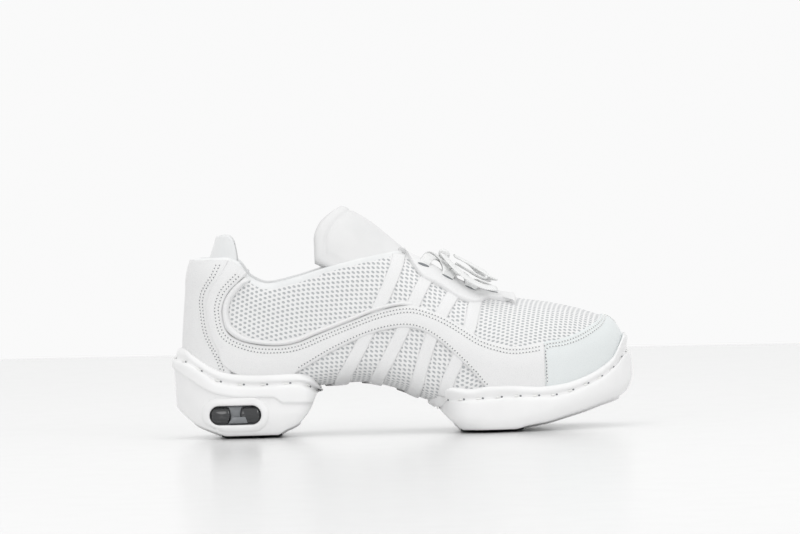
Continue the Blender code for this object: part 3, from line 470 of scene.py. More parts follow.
    def from_top(self, x: float, y: float, side: Side) -> tuple[float, float]:
        """A place seen from above, y from the middle line, as (station, share of the girth).

        Args:
            x: The station.
            y: The distance from the middle line.
            side: The side of the shoe.

        Returns:
            The pair.
        """
        wide = float(self.half_width(np.asarray(x), np.asarray(side.value)))
        reach = min(abs(y) / max(wide, 1e-9), 1.0) ** (float(self.column("crown", x)) / 2)
        return x, self.share_of(x, side.value * (math.pi / 2 - math.acos(reach)))

    def throat_half(self, share: np.ndarray) -> np.ndarray:
        """Half the throat's opening, rounded off at its front end."""
        front = rounding((self.throat_end - share) * LENGTH / self.throat_round, 2.0)
        return self.throat.at(share) * BALL_WIDTH * front

    def edge(self, x: float, side: Side) -> float:
        """The share of the girth at the upper's top edge: the collar, the throat or, in front of it, the crown.

        Args:
            x: The station.
            side: The side of the shoe.

        Returns:
            The share, 0 in front of the throat.
        """
        share = x / LENGTH
        if share >= self.throat_end:
            return 0.0
        found = []
        if share < 0.505:
            z = float(self.collar.at(share)) * HEEL_HEIGHT
            for _ in range(4):
                seen = x + float(self.lean(np.asarray(x), np.asarray(z)))
                z = float(self.collar.at(seen / LENGTH)) * HEEL_HEIGHT
            found.append(abs(self.share_of(x, float(self.turn_of(np.asarray(x), np.asarray(z), side.value)))))
        if share > 0.42:
            found.append(abs(self.from_top(x, float(self.throat_half(np.asarray(share))), side)[1]))
        return side.value * max(found)


LAST = Last()


@dataclass(frozen=True)
class Place:
    """A place over the upper: shares of LENGTH along, of BALL_WIDTH across, of the lace's cord above."""

    share: float
    across: float
    rise: float


@dataclass(frozen=True)
class Ring:
    """A ring of a sole unit: outwards in lip widths, its two ends, the line it follows and its drop below it."""

    out: float
    rear: float
    front: float
    line: str
    drop: float


# The solids' own tables, in shares of the shoe's sizes.
COUNTER_SEAM = (
    (0.143, 1.120), (0.133, 1.000), (0.116, 0.896), (0.098, 0.833), (0.088, 0.787), (0.084, 0.734),
    (0.086, 0.658), (0.092, 0.573), (0.105, 0.493), (0.119, 0.429), (0.135, 0.320),
)
PANEL_EDGE = (
    (0.180, 0.868), (0.161, 0.830), (0.144, 0.783), (0.134, 0.741), (0.131, 0.687), (0.136, 0.628),
    (0.148, 0.591), (0.171, 0.557), (0.222, 0.534), (0.264, 0.543), (0.319, 0.590), (0.389, 0.651),
    (0.444, 0.700), (0.500, 0.727), (0.542, 0.719),
)
BAND_TOP = (
    (0.168, 0.885), (0.148, 0.845), (0.131, 0.797), (0.121, 0.743), (0.118, 0.685), (0.123, 0.612),
    (0.137, 0.568), (0.164, 0.531), (0.222, 0.507), (0.270, 0.516), (0.319, 0.561), (0.389, 0.625),
    (0.444, 0.676), (0.500, 0.706), (0.542, 0.695),
)
TOE_CAP_EDGE = (
    (0.839, 0.497), (0.874, 0.522), (0.909, 0.564), (0.928, 0.593), (0.944, 0.640),
)
EYESTAY_EDGE = (
    (0.530, 0.915), (0.551, 0.848), (0.575, 0.818), (0.597, 0.781), (0.622, 0.737), (0.652, 0.706),
    (0.672, 0.706), (0.688, 0.724), (0.712, 0.716), (0.738, 0.705),
)
STRAPS = (
    ((0.345, 0.140), (0.370, 0.299), (0.416, 0.503), (0.456, 0.709), (0.484, 0.862), (0.498, 0.960), (0.503, 1.080)),
    ((0.425, 0.140), (0.446, 0.299), (0.474, 0.430), (0.504, 0.574), (0.531, 0.726), (0.551, 0.820), (0.568, 0.880)),
    ((0.500, 0.080), (0.527, 0.243), (0.545, 0.390), (0.564, 0.524), (0.586, 0.646), (0.607, 0.733), (0.624, 0.790)),
    ((0.588, 0.210), (0.600, 0.300), (0.619, 0.400), (0.634, 0.500), (0.649, 0.591), (0.658, 0.684), (0.668, 0.760)),
)
WAVE_KNOTS = (
    ((0.1365, 0.985), (0.1735, 0.905)), ((0.116, 0.896), (0.150, 0.848)), ((0.098, 0.833), (0.131, 0.797)),
    ((0.086, 0.762), (0.1195, 0.725)), ((0.084, 0.700), (0.119, 0.665)), ((0.092, 0.573), (0.127, 0.592)),
    ((0.105, 0.493), (0.142, 0.556)), ((0.118, 0.400), (0.164, 0.531)), ((0.175, 0.325), (0.192, 0.514)),
    ((0.245, 0.320), (0.222, 0.507)), ((0.270, 0.354), (0.248, 0.508)), ((0.305, 0.400), (0.280, 0.523)),
    ((0.347, 0.459), (0.319, 0.561)), ((0.389, 0.509), (0.360, 0.600)), ((0.430, 0.551), (0.402, 0.638)),
    ((0.472, 0.578), (0.450, 0.680)), ((0.514, 0.585), (0.503, 0.706)), ((0.548, 0.564), (0.542, 0.695)),
    ((0.583, 0.506), (0.590, 0.646)), ((0.617, 0.425), (0.631, 0.582)), ((0.652, 0.334), (0.667, 0.522)),
    ((0.684, 0.242), (0.700, 0.489)), ((0.721, 0.238), (0.735, 0.467)), ((0.760, 0.230), (0.770, 0.469)),
    ((0.804, 0.226), (0.804, 0.482)),
)
LACE_KNOT = (Place(0.577, -0.062, 2.10), Place(0.578, 0.0, 2.25), Place(0.577, 0.062, 2.10))
LOOP_OUTER = (
    Place(0.601, -0.060, 2.80), Place(0.618, -0.095, 3.00), Place(0.640, -0.128, 3.15),
    Place(0.660, -0.145, 3.15), Place(0.680, -0.145, 2.85), Place(0.691, -0.122, 2.45),
    Place(0.687, -0.092, 2.15), Place(0.668, -0.070, 1.95), Place(0.645, -0.055, 1.95),
    Place(0.622, -0.035, 1.98), Place(0.607, -0.022, 1.95),
)
LOOP_INNER = (
    Place(0.601, 0.060, 2.85), Place(0.615, 0.110, 3.05), Place(0.634, 0.160, 3.25), Place(0.652, 0.200, 3.25),
    Place(0.668, 0.215, 3.00), Place(0.678, 0.205, 2.60), Place(0.672, 0.170, 2.30), Place(0.655, 0.135, 2.10),
    Place(0.635, 0.095, 2.05), Place(0.612, 0.045, 2.00),
)
END_OUTER = (
    Place(0.577, -0.110, 2.10), Place(0.590, -0.160, 2.05), Place(0.612, -0.200, 2.00),
    Place(0.640, -0.228, 1.95), Place(0.670, -0.232, 1.95), Place(0.700, -0.212, 1.95),
)
END_INNER = (
    Place(0.577, 0.110, 2.10), Place(0.585, 0.170, 2.05), Place(0.597, 0.235, 2.00), Place(0.612, 0.300, 1.90),
    Place(0.628, 0.350, 1.60), Place(0.642, 0.385, 1.40),
)
HEEL_LIP = (
    (0.000, 1.99), (0.030, 1.96), (0.053, 1.80), (0.084, 1.59), (0.112, 1.46), (0.141, 1.395), (0.194, 1.36),
    (0.273, 1.375), (0.301, 1.32), (0.317, 1.20), (0.330, 1.02),
)
HEEL_GROOVE = (
    (0.000, 1.79), (0.042, 1.65), (0.077, 1.43), (0.101, 1.28), (0.136, 1.195), (0.190, 1.160), (0.277, 1.180),
    (0.301, 1.085), (0.330, 0.880),
)
HEEL_RIDGE = (
    (0.000, 1.560), (0.042, 1.300), (0.072, 1.110), (0.103, 0.980), (0.159, 0.907), (0.221, 0.889),
    (0.244, 0.767), (0.330, 0.740),
)
FOREFOOT_LIP = (
    (0.550, 0.62), (0.563, 0.84), (0.578, 0.97), (0.599, 1.01), (0.644, 0.955), (0.684, 1.003), (0.721, 1.005),
    (0.796, 0.960), (0.843, 0.996), (0.888, 1.115), (0.930, 1.315), (0.957, 1.530), (0.970, 1.760),
    (0.982, 2.000),
)
FOREFOOT_GROOVE = (
    (0.550, 0.36), (0.570, 0.44), (0.592, 0.720), (0.674, 0.752), (0.739, 0.778), (0.819, 0.770),
    (0.859, 0.844), (0.895, 0.967), (0.931, 1.126), (0.959, 1.318), (0.985, 1.620),
)
UNDERSIDE = (
    (-0.020, 1.000), (0.012, 0.620), (0.037, 0.390), (0.056, 0.250), (0.078, 0.155), (0.100, 0.070),
    (0.120, 0.000), (0.228, 0.000), (0.248, 0.110), (0.273, 0.219), (0.289, 0.378), (0.301, 0.541),
    (0.320, 0.900), (0.535, 0.900), (0.550, 0.560), (0.574, 0.490), (0.586, 0.370), (0.599, 0.240),
    (0.614, 0.110), (0.630, 0.000), (0.738, 0.000), (0.767, 0.065), (0.811, 0.135), (0.843, 0.219),
    (0.895, 0.359), (0.928, 0.467), (0.963, 0.567), (0.990, 0.726), (1.020, 1.000),
)
HEEL_BASE = ((0.000, 0.0), (1.000, 0.0))
FOREFOOT_BASE = ((0.500, 0.000), *(row for row in UNDERSIDE if row[0] >= 0.738))
HEEL_RINGS = (
    Ring(-0.90, 0.037, 0.298, "lip", 0.0),
    Ring(0.55, 0.024, 0.311, "lip", 0.0),
    Ring(0.95, 0.017, 0.320, "lip", 0.7),
    Ring(1.08, 0.013, 0.325, "lip", 1.9),
    Ring(0.72, 0.010, 0.316, "groove", 0.0),
    Ring(1.30, 0.003, 0.327, "groove", 1.2),
    Ring(1.48, 0.002, 0.325, "ridge", -1.0),
    Ring(1.42, 0.003, 0.323, "ridge", -0.1),
    Ring(1.12, 0.007, 0.319, "ridge", 0.9),
    Ring(1.30, 0.012, 0.313, "base", -7.6),
    Ring(1.05, 0.020, 0.303, "base", -4.0),
    Ring(0.45, 0.033, 0.290, "base", -1.1),
    Ring(-0.90, 0.045, 0.278, "base", 1.2),
)
FOREFOOT_RINGS = (
    Ring(-0.60, 0.570, 0.975, "lip", 0.0),
    Ring(0.50, 0.560, 0.986, "lip", 0.0),
    Ring(0.88, 0.554, 0.989, "lip", 0.6),
    Ring(0.95, 0.555, 0.991, "lip", 1.7),
    Ring(0.66, 0.566, 0.988, "groove", 0.0),
    Ring(1.10, 0.572, 0.996, "groove", 1.1),
    Ring(1.18, 0.576, 0.999, "base", -5.0),
    Ring(0.90, 0.586, 0.994, "base", -2.4),
    Ring(0.40, 0.596, 0.985, "base", -0.7),
    Ring(-0.80, 0.608, 0.970, "base", 1.2),
)


@dataclass(frozen=True)
class Crease:
    """A soft crease seen from the side, in millimetres: its two ends, its depth and its width."""

    x1: float
    z1: float
    x2: float
    z2: float
    depth: float
    width: float

    def at(self, x: np.ndarray, z: np.ndarray) -> np.ndarray:
        """How far it lies inside the form at a place seen from the side, in metres.

        Args:
            x: Where it shows, in metres.
            z: Heights in metres.

        Returns:
            The depths.
        """
        px, pz = x / MM - self.x1, z / MM - self.z1
        dx, dz = self.x2 - self.x1, self.z2 - self.z1
        t = np.clip((px * dx + pz * dz) / (dx * dx + dz * dz), 0, 1)
        away = np.hypot(px - t * dx, pz - t * dz)
        middle = 0.35 + 0.65 * np.sin(np.pi * t)
        return self.depth * MM * middle * ripple(away, 0.0, self.width)


# Where the foot bends the shoe behind the toes, and where the fabric hangs slack under the collar and the straps.
CREASES = (
    Crease(194, 74, 204, 56, 1.00, 3.2),
    Crease(206, 71, 215, 55, 0.45, 2.6),
    Crease(182, 66, 189, 50, 0.40, 2.4),
    Crease(58, 77, 84, 85, 0.45, 3.2),
    Crease(96, 74, 118, 90, 0.45, 3.0),
    Crease(14, 60, 20, 84, 0.35, 2.8),
    Crease(120, 36, 131, 50, 0.35, 2.6),
    Crease(236, 66, 246, 58, 0.30, 2.6),
)


def swell(x: np.ndarray, z: np.ndarray) -> np.ndarray:
    """How far the collar's padding pushes the faces outwards, and the creases draw them in.

    Args:
        x: Stations along the shoe.
        z: Heights.

    Returns:
        Distances along the normal.
    """
    share = x / LENGTH
    edge = LAST.collar.at(share) * HEEL_HEIGHT
    below = edge - z
    drawn = sum(crease.at(x, z) for crease in CREASES)
    return PAD_SWELL * ripple(below, PAD_SEAT, PAD_SPREAD) * ease((0.36 - share) / 0.12) - drawn


def face(x: np.ndarray, turn: np.ndarray, height: np.ndarray | float) -> np.ndarray:
    """Points this far outside the form.

    Args:
        x: Stations.
        turn: Angles from the crown.
        height: Distances along the normal.

    Returns:
        The points.
    """
    x, turn, height = np.broadcast_arrays(np.asarray(x, float), np.asarray(turn, float), np.asarray(height, float))
    place = LAST.point(x, turn)
    normal = LAST.normal(x, turn)
    middle = (x <= LAST.first + 1e-7) | (np.abs(turn) > np.pi - 1e-6)
    normal[middle, 1] = 0
    normal = unit(normal)
    normal[x >= LAST.last - 1e-7] = (1.0, 0.0, 0.0)
    return place + normal * (height + swell(x, place[..., 2]))[..., None]


def add_node(tree: bpy.types.NodeTree, kind: str, settings: dict | None = None, **links: object) -> bpy.types.Node:
    """A shader node with its settings and links.

    Args:
        tree: The material's node tree.
        kind: The node's type name without its ShaderNode prefix.
        settings: Attributes of the node, or values of its sockets by name or number.
        links: Sockets of other nodes by the input's name, with _ for a blank, or i0, i1 for its number.

    Returns:
        The node.
    """
    node = tree.nodes.new("ShaderNode" + kind)
    for key, value in (settings or {}).items():
        if isinstance(key, int) or key in node.inputs:
            node.inputs[key].default_value = value
        else:
            setattr(node, key, value)
    for key, socket in links.items():
        if isinstance(socket, bpy.types.Node):
            socket = socket.outputs[0]
        slot = int(key[1:]) if key[0] == "i" and key[1:].isdigit() else key.replace("_", " ")
        tree.links.new(socket, node.inputs[slot])
    return node


def linear(code: str) -> tuple[float, float, float, float]:
    """An sRGB hex colour as linear light."""
    parts = [int(code[i : i + 2], 16) / 255 for i in (1, 3, 5)]
    return (*[p / 12.92 if p <= 0.04045 else ((p + 0.055) / 1.055) ** 2.4 for p in parts], 1.0)


@dataclass(frozen=True)
class Finish:
    """A material: what it is, its colour and gloss, its fine relief, and its slow change of tone."""

    name: str
    colour: str
    shade: str
    roughness: float
    grain_mm: float
    depth_mm: float
    sheen: float = 0.0
    coat: float = 0.0
    ior: float = 1.5
    cloud_scale = 45.0
    sheen_spread = 0.4
    coat_spread = 0.12

    def start(self) -> tuple[bpy.types.Material, bpy.types.NodeTree, bpy.types.Node]:
        """The material with its shader's constants set.

        Returns:
            The material, its node tree and its shader.
        """
        material = bpy.data.materials.new(self.name)
        material.use_nodes = True
        tree = material.node_tree
        shader = tree.nodes["Principled BSDF"]
        for socket, value in (
            ("Base Color", linear(self.colour)), ("Roughness", self.roughness), ("IOR", self.ior),
            ("Sheen Weight", self.sheen), ("Sheen Roughness", self.sheen_spread),
            ("Coat Weight", self.coat), ("Coat Roughness", self.coat_spread),
        ):
            shader.inputs[socket].default_value = value
        material.diffuse_color = linear(self.colour)
        return material, tree, shader

    def grain(self, tree: bpy.types.NodeTree) -> bpy.types.Node:
        """Grain from real millimetres on Object coordinates.

        Args:
            tree: The material's node tree.

        Returns:
            The grain's node.
        """
        where = add_node(tree, "TexCoord")
        return add_node(
            tree, "TexNoise", {"Scale": 1000 / self.grain_mm, "Detail": 3.0, "Roughness": 0.6},
            Vector=where.outputs["Object"],
        )

    def emboss(self, tree: bpy.types.NodeTree, shader: bpy.types.Node, height: object, strength: float = 1.0) -> None:
        """Raises the face by a height's node or socket, as deep as the finish's relief."""
        bump = add_node(tree, "Bump", {"Strength": strength, "Distance": self.depth_mm * MM}, Height=height)
        tree.links.new(bump.outputs["Normal"], shader.inputs["Normal"])

    def cloud(self, tree: bpy.types.NodeTree) -> bpy.types.Node:
        """A slow noise over centimetres, on Object coordinates.

        Args:
            tree: The material's node tree.

        Returns:
            The noise's node.
        """
        where = add_node(tree, "TexCoord")
        return add_node(
            tree, "TexNoise", {"Scale": self.cloud_scale, "Detail": 2.0}, Vector=where.outputs["Object"]
        )

    def tint(self, tree: bpy.types.NodeTree, shader: bpy.types.Node, factor: bpy.types.NodeSocket) -> None:
        """Mixes the shade into the colour by a factor.

        Args:
            tree: The material's node tree.
            shader: Its shader.
            factor: The shade's share, 0 to 1.
        """
        mix = add_node(
            tree, "Mix", {"data_type": "RGBA", 6: linear(self.colour), 7: linear(self.shade)}, i0=factor
        )
        tree.links.new(mix.outputs[2], shader.inputs["Base Color"])

    def make(self) -> bpy.types.Material:
        """A grained material, with a soft change of tone over centimetres.

        Returns:
            The material.
        """
        material, tree, shader = self.start()
        self.emboss(tree, shader, self.grain(tree).outputs["Fac"])
        fade = add_node(tree, "MapRange", {1: 0.4, 2: 0.75, 3: 0.0, 4: 0.55}, Value=self.cloud(tree).outputs["Fac"])
        self.tint(tree, shader, fade.outputs[0])
        return material


class Leather(Finish):
    """Coated leather: cells of fine grain, printed in its coating, which catch small lights; the creases between the
    cells are darkened with painted shade.
    """

    cloud_scale = 30.0

    def make(self) -> bpy.types.Material:
        """Grain cells with creases between them, darkened with painted shade.

        Returns:
            The material.
        """
        material, tree, shader = self.start()
        where = add_node(tree, "TexCoord")
        cells = add_node(
            tree, "TexVoronoi", {"feature": "DISTANCE_TO_EDGE", "Scale": 1000 / self.grain_mm},
            Vector=where.outputs["Object"],
        )
        edge = add_node(tree, "MapRange", {1: 0.0, 2: 0.12, 3: 0.0, 4: 1.0}, Value=cells.outputs["Distance"])
        pores = self.grain(tree)
        both = add_node(
            tree, "Math", {"operation": "MULTIPLY_ADD", 1: 0.6}, i0=pores.outputs["Fac"], i2=edge.outputs[0]
        )
        self.emboss(tree, shader, both, 0.8)
        gloss = add_node(
            tree, "MapRange", {1: 0.3, 2: 0.7, 3: self.roughness - 0.05, 4: self.roughness + 0.08},
            Value=self.cloud(tree).outputs["Fac"],
        )
        tree.links.new(gloss.outputs[0], shader.inputs["Roughness"])
        # Painted shade in the creases between the grain cells.
        crease_shade = add_node(tree, "MapRange", {1: 0.0, 2: 0.1, 3: 0.5, 4: 0.0}, Value=cells.outputs["Distance"])
        self.tint(tree, shader, crease_shade.outputs[0])
        return material


class Spacer(Finish):
    """Knitted spacer mesh: staggered oval holes in a padded face; the web is matt, and the holes are greyed with
    painted shade.
    """

    pitch_mm = (5.4, 2.7)
    hole_mm = (0.86, 0.64)
    slant = -0.1
    rim = (0.45, 1.7)
    yarn_share = 0.22

    def make(self) -> bpy.types.Material:
        """The lattice, on the piece's own UV map in millimetres.

        Returns:
            The material.
        """
        material, tree, shader = self.start()
        uv = add_node(tree, "UVMap")
        parts = add_node(tree, "SeparateXYZ", Vector=uv)
        leant = add_node(
            tree, "Math", {"operation": "MULTIPLY_ADD", 1: self.slant}, i0=parts.outputs[1], i2=parts.outputs[0]
        )
        near = []
        for shift in (0.0, 0.5):
            spans = []
            for socket, pitch, hole in zip((leant.outputs[0], parts.outputs[1]), self.pitch_mm, self.hole_mm):
                grow = pitch / hole
                cell = add_node(tree, "Math", {"operation": "MULTIPLY_ADD", 1: 1 / pitch, 2: shift}, i0=socket)
                part = add_node(tree, "Math", {"operation": "FRACT"}, i0=cell)
                off = add_node(tree, "Math", {"operation": "MULTIPLY_ADD", 1: grow, 2: -0.5 * grow}, i0=part)
                spans.append(add_node(tree, "Math", {"operation": "MULTIPLY"}, i0=off, i1=off))
            near.append(add_node(tree, "Math", {"operation": "ADD"}, i0=spans[0], i1=spans[1]))
        lower = add_node(tree, "Math", {"operation": "MINIMUM"}, i0=near[0], i1=near[1])
        web = add_node(
            tree, "MapRange", {"interpolation_type": "SMOOTHSTEP", 1: self.rim[0], 2: self.rim[1], 3: 0.0, 4: 1.0},
            Value=lower,
        )
        yarn = self.grain(tree)
        height = add_node(
            tree, "Math", {"operation": "MULTIPLY_ADD", 1: self.yarn_share}, i0=yarn.outputs["Fac"], i2=web.outputs[0]
        )
        self.emboss(tree, shader, height)
        # Painted shade: the holes take the grey shade colour, fullest at their middles.
        deep = add_node(tree, "MapRange", {1: 0.0, 2: 1.0, 3: 1.0, 4: 0.0}, Value=web.outputs[0])
        self.tint(tree, shader, deep.outputs[0])
        return material


class Weave(Finish):
    """Flat woven lace: slanting yarns that cross, drawn 1.1 mm wide so that they show; painted shade darkens the
    furrows between them.
    """

    rib_mm = 1.1

    def make(self) -> bpy.types.Material:
        """Herringbone ribs along the piece's own UV map in millimetres, with painted shade in their furrows.

        Returns:
            The material.
        """
        material, tree, shader = self.start()
        uv = add_node(tree, "UVMap")
        parts = add_node(tree, "SeparateXYZ", Vector=uv)
        bend = add_node(tree, "Math", {"operation": "ABSOLUTE"}, i0=parts.outputs[1])
        run = add_node(tree, "Math", {"operation": "MULTIPLY_ADD", 1: 0.8}, i0=bend, i2=parts.outputs[0])
        turn = add_node(tree, "Math", {"operation": "MULTIPLY", 1: 2 * math.pi / self.rib_mm}, i0=run)
        rib = add_node(tree, "Math", {"operation": "SINE"}, i0=turn)
        high = add_node(tree, "MapRange", {1: -1.0, 2: 1.0, 3: 0.0, 4: 1.0}, Value=rib)
        self.emboss(tree, shader, high, 0.8)
        # Painted shade: the shade colour fills in where the ribs are low.
        low = add_node(tree, "MapRange", {1: 0.0, 2: 1.0, 3: 0.5, 4: 0.0}, Value=high.outputs[0])
        self.tint(tree, shader, low.outputs[0])
        return material


# White spacer mesh on foam: matt and padded, its holes greyed with painted shade into soft grey dots.
SPACER = Spacer("spacer_mesh_knitted", "#E9E9E9", "#B8BBBD", 0.85, 0.5, 0.38, sheen=0.15)
# Brushed polyester lining: short nap, no gloss, a soft light edge.
LINING = Finish("polyester_lining_brushed", "#E6E7E7", "#D3D5D6", 0.95, 0.6, 0.10, sheen=0.35)
# Coated split leather, pressed grain: an even satin gloss with fine creases.
LEATHER_WHITE = Leather("split_leather_coated", "#E7E7E7", "#D7D8D9", 0.46, 0.9, 0.045)
# The same leather over the toe, a cooler white with a smoother face.
LEATHER_TOE = Leather("split_leather_coated_cool", "#E1E5E5", "#D3D9DA", 0.42, 0.9, 0.03)
# Plain polyester knit of the tongue: smooth and matt with a close, fine face.
KNIT = Finish("polyester_knit_plain", "#DFDFDF", "#D3D4D4", 0.9, 0.7, 0.12, sheen=0.25)
# Ethylene-vinyl-acetate foam, moulded: satin, with a skin that softens its edges' light.
FOAM = Finish("eva_foam_moulded", "#EEEEEE", "#E6E6E6", 0.42, 0.7, 0.02)
# Polyester lace, woven flat: matt with slanting ribs, painted shade in their furrows.
LACE = Weave("polyester_lace_woven", "#F1F1F0", "#CDD0D1", 0.8, 1.0, 0.18, sheen=0.2)
# Polyester sewing thread, twisted: a slight gloss, beside a disc of painted shade at its needle hole.
THREAD = Finish("polyester_thread_twisted", "#F3F3F1", "#DADBDB", 0.6, 0.3, 0.03)
# Painted shade: dark discs at the needle holes, and dark ellipses under the lace where it enters the eyelets.
HOLE_SHADE = Finish("painted_hole_shade", "#7E8184", "#686B6E", 0.95, 0.4, 0.02)
# Acrylic, moulded and polished: near black, with clean highlights.
DARK_PLASTIC = Finish("acrylic_moulded_dark", "#17191C", "#0E1012", 0.10, 2.0, 0.002, coat=0.8, ior=1.49)
# Thermoplastic polyurethane of the window's floor and lug, moulded: grey, satin.
GREY_PLASTIC = Finish("polyurethane_moulded_grey", "#787B7E", "#66696C", 0.25, 1.5, 0.004, coat=0.3)
# Painted contact shadow, dark and matt, on the flat of the soles' undersides where they touch the table: it shows only
# as a thin line over the floor.
CONTACT_SHADE = Finish("painted_contact_shadow", "#37393B", "#2C2E30", 0.75, 0.8, 0.05)
# Acrylic sheet for the table: pale and slightly glossy, it holds a faint mirror image.
TABLE = Finish("acrylic_sheet_white", "#E5E5E5", "#E2E2E2", 0.20, 6.0, 0.0)

MADE: dict[str, bpy.types.Material] = {}


def material_of(finish: Finish) -> bpy.types.Material:
    """The finish's material, made once.

    Args:
        finish: The finish.

    Returns:
        Its material.
    """
    if finish.name not in MADE:
        MADE[finish.name] = finish.make()
    return MADE[finish.name]


@dataclass
class Build:
    """Vertices, faces and UVs of a piece while it is made."""

    points: list[np.ndarray] = field(default_factory=list)
    faces: list[tuple[int, ...]] = field(default_factory=list)
    uvs: list[np.ndarray] = field(default_factory=list)
    slots: list[int] = field(default_factory=list)
    count: int = 0

    def grid(
        self, rows: np.ndarray, uv: np.ndarray | None = None, closed: bool = False, flip: bool = False,
        slot: int = 0, skip: Callable[[int, int], bool] | None = None,
    ) -> None:
        """Adds a grid of quads.

        Args:
            rows: Points, (rows, columns, 3).
            uv: Their UVs in millimetres, or None for the row's and the column's run.
            closed: Whether the last column joins the first.
            flip: Whether the faces point the other way.
            slot: The material slot.
            skip: A test that leaves out the quad at a row and a column.
        """
        high, wide = rows.shape[:2]
        if uv is None:
            uv = np.stack(np.broadcast_arrays(run_along(rows, 1), run_along(rows.mean(axis=1))[:, None]), axis=-1) / MM
        start = self.count
        self.points.append(rows.reshape(-1, 3))
        self.uvs.append(np.asarray(uv, float).reshape(-1, 2))
        self.count += high * wide
        for i in range(high - 1):
            for j in range(wide if closed else wide - 1):
                if skip is not None and skip(i, j):
                    continue
                k = (j + 1) % wide
                near, far = start + i * wide, start + (i + 1) * wide
                quad = (near + j, near + k, far + k, far + j)
                self.faces.append(quad[::-1] if flip else quad)
                self.slots.append(slot)

    def ends(self, rings: np.ndarray, middles: np.ndarray, uv: np.ndarray | None = None) -> None:
        """Closes both ends of a tube.

        Args:
            rings: The tube's rings of points.
            middles: The rings' middle points.
            uv: The rings' UVs in millimetres, or None for the points' own runs.
        """
        for end, flip in ((0, True), (-1, False)):
            cap = np.stack([rings[end], np.broadcast_to(middles[end], rings[end].shape)])
            self.grid(cap, None if uv is None else np.stack([uv[end], uv[end] * 0]), closed=True, flip=flip)

    def done(
        self, name: str, finishes: Sequence[Finish], slot: str, nodes: Sequence[str] = (), outward: bool = True
    ) -> bpy.types.Object:
        """Makes the piece, moved into the row's frame.

        Args:
            name: The piece's name.
            finishes: Its finishes, by slot number.
            slot: The name of a material slot; not used.
            nodes: The solids that it stands for.
            outward: Whether its faces are turned outwards as one closed body.

        Returns:
            The object.
        """
        mesh = bpy.data.meshes.new(name)
        points = np.concatenate(self.points)
        points[:, 0] -= HEEL_SPOT
        mesh.from_pydata(points.tolist(), [], self.faces)
        layer = mesh.uv_layers.new(name="UVMap")
        flat = np.concatenate(self.uvs)
        loops = np.zeros(len(mesh.loops), dtype=np.int32)
        mesh.loops.foreach_get("vertex_index", loops)
        layer.data.foreach_set("uv", flat[loops].astype(np.float32).ravel())
        for finish in finishes:
            mesh.materials.append(material_of(finish))
        mesh.polygons.foreach_set("material_index", self.slots)
        bm = bmesh.new()
        bm.from_mesh(mesh)
        bmesh.ops.remove_doubles(bm, verts=bm.verts, dist=SAME_PLACE)
        bmesh.ops.dissolve_degenerate(bm, dist=NO_LENGTH, edges=bm.edges)
        if outward:
            bmesh.ops.recalc_face_normals(bm, faces=bm.faces)
        bm.to_mesh(mesh)
        bm.free()
        mesh.polygons.foreach_set("use_smooth", [True] * len(mesh.polygons))
        item = bpy.data.objects.new(name, mesh)
        bpy.context.scene.collection.objects.link(item)
        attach(item, "root")
        if nodes:
            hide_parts(*nodes)
        LOG.info("%s: %d faces", name, len(mesh.polygons))
        return item


def edge_of(points: Iterable[Sequence[float]], side: Side, steps: int = 8) -> np.ndarray:
    """An edge seen from the side as dense rows of (station, share of the girth)."""
    curve = smooth([(p[0] * LENGTH, p[1] * HEEL_HEIGHT) for p in points], steps)
    return np.array([LAST.from_side(max(x, LAST.first + 1e-4), z, side) for x, z in curve])


def on_form(rows: np.ndarray) -> np.ndarray:
    """The points on the form of rows of (station, share)."""
    return LAST.point(rows[:, 0], LAST.turn(rows[:, 0], rows[:, 1]))


def between(a: np.ndarray, b: np.ndarray, t: np.ndarray) -> tuple[np.ndarray, np.ndarray, np.ndarray, np.ndarray]:
    """The points between two paired edges.

    Args:
        a: One edge's rows of (station, share), paired with b's.
        b: The other edge's rows.
        t: The columns' shares of the way from a to b.

    Returns:
        Stations, shares, turns, and each point's distance from edge a.
    """
    x = a[:, None, 0] * (1 - t) + b[:, None, 0] * t
    share = a[:, None, 1] * (1 - t) + b[:, None, 1] * t
    turn = LAST.turn(x, share)
    return x, share, turn, run_along(LAST.point(x, turn), 1)


def strip(
    a: np.ndarray, b: np.ndarray, count: int, across: int
) -> tuple[np.ndarray, np.ndarray, np.ndarray, np.ndarray, np.ndarray]:
    """A patch between two paired edges.

    Args:
        a: One edge's rows of (station, share), paired with b's.
        b: The other edge's rows.
        count: Rows along the edges.
        across: Columns from one edge to the other.

    Returns:
        Stations, shares, turns, and each point's distance from edge a and from edge b.
    """
    both = evened(np.hstack([a, b]), count, (on_form(a) + on_form(b)) / 2)
    x, share, turn, runs = between(both[:, :2], both[:, 2:], crowded(across))
    return x, share, turn, runs, runs[:, -1:] - runs


def joined(outer: np.ndarray, inner: np.ndarray) -> np.ndarray:
    """Both sides' rows as one line that passes over the crown."""
    return np.vstack([outer, inner[::-1][1:]])


def seam_rows(
    x: np.ndarray, share: np.ndarray, height: np.ndarray, distance: np.ndarray, seat: float, trim: int
) -> np.ndarray:
    """A seam's line at a distance from a patch's edge.

    Args:
        x: Stations.
        share: Shares of the girth.
        height: The patch's heights.
        distance: Distances from its edge.
        seat: The seam's distance.
        trim: Rows left out at both ends.

    Returns:
        Rows of (station, share, height).
    """
    rows = []
    for i in range(trim, len(x) - trim):
        order = np.argsort(distance[i])
        rows.append([np.interp(seat, distance[i][order], column[i][order]) for column in (x, share, height)])
    return np.array(rows)


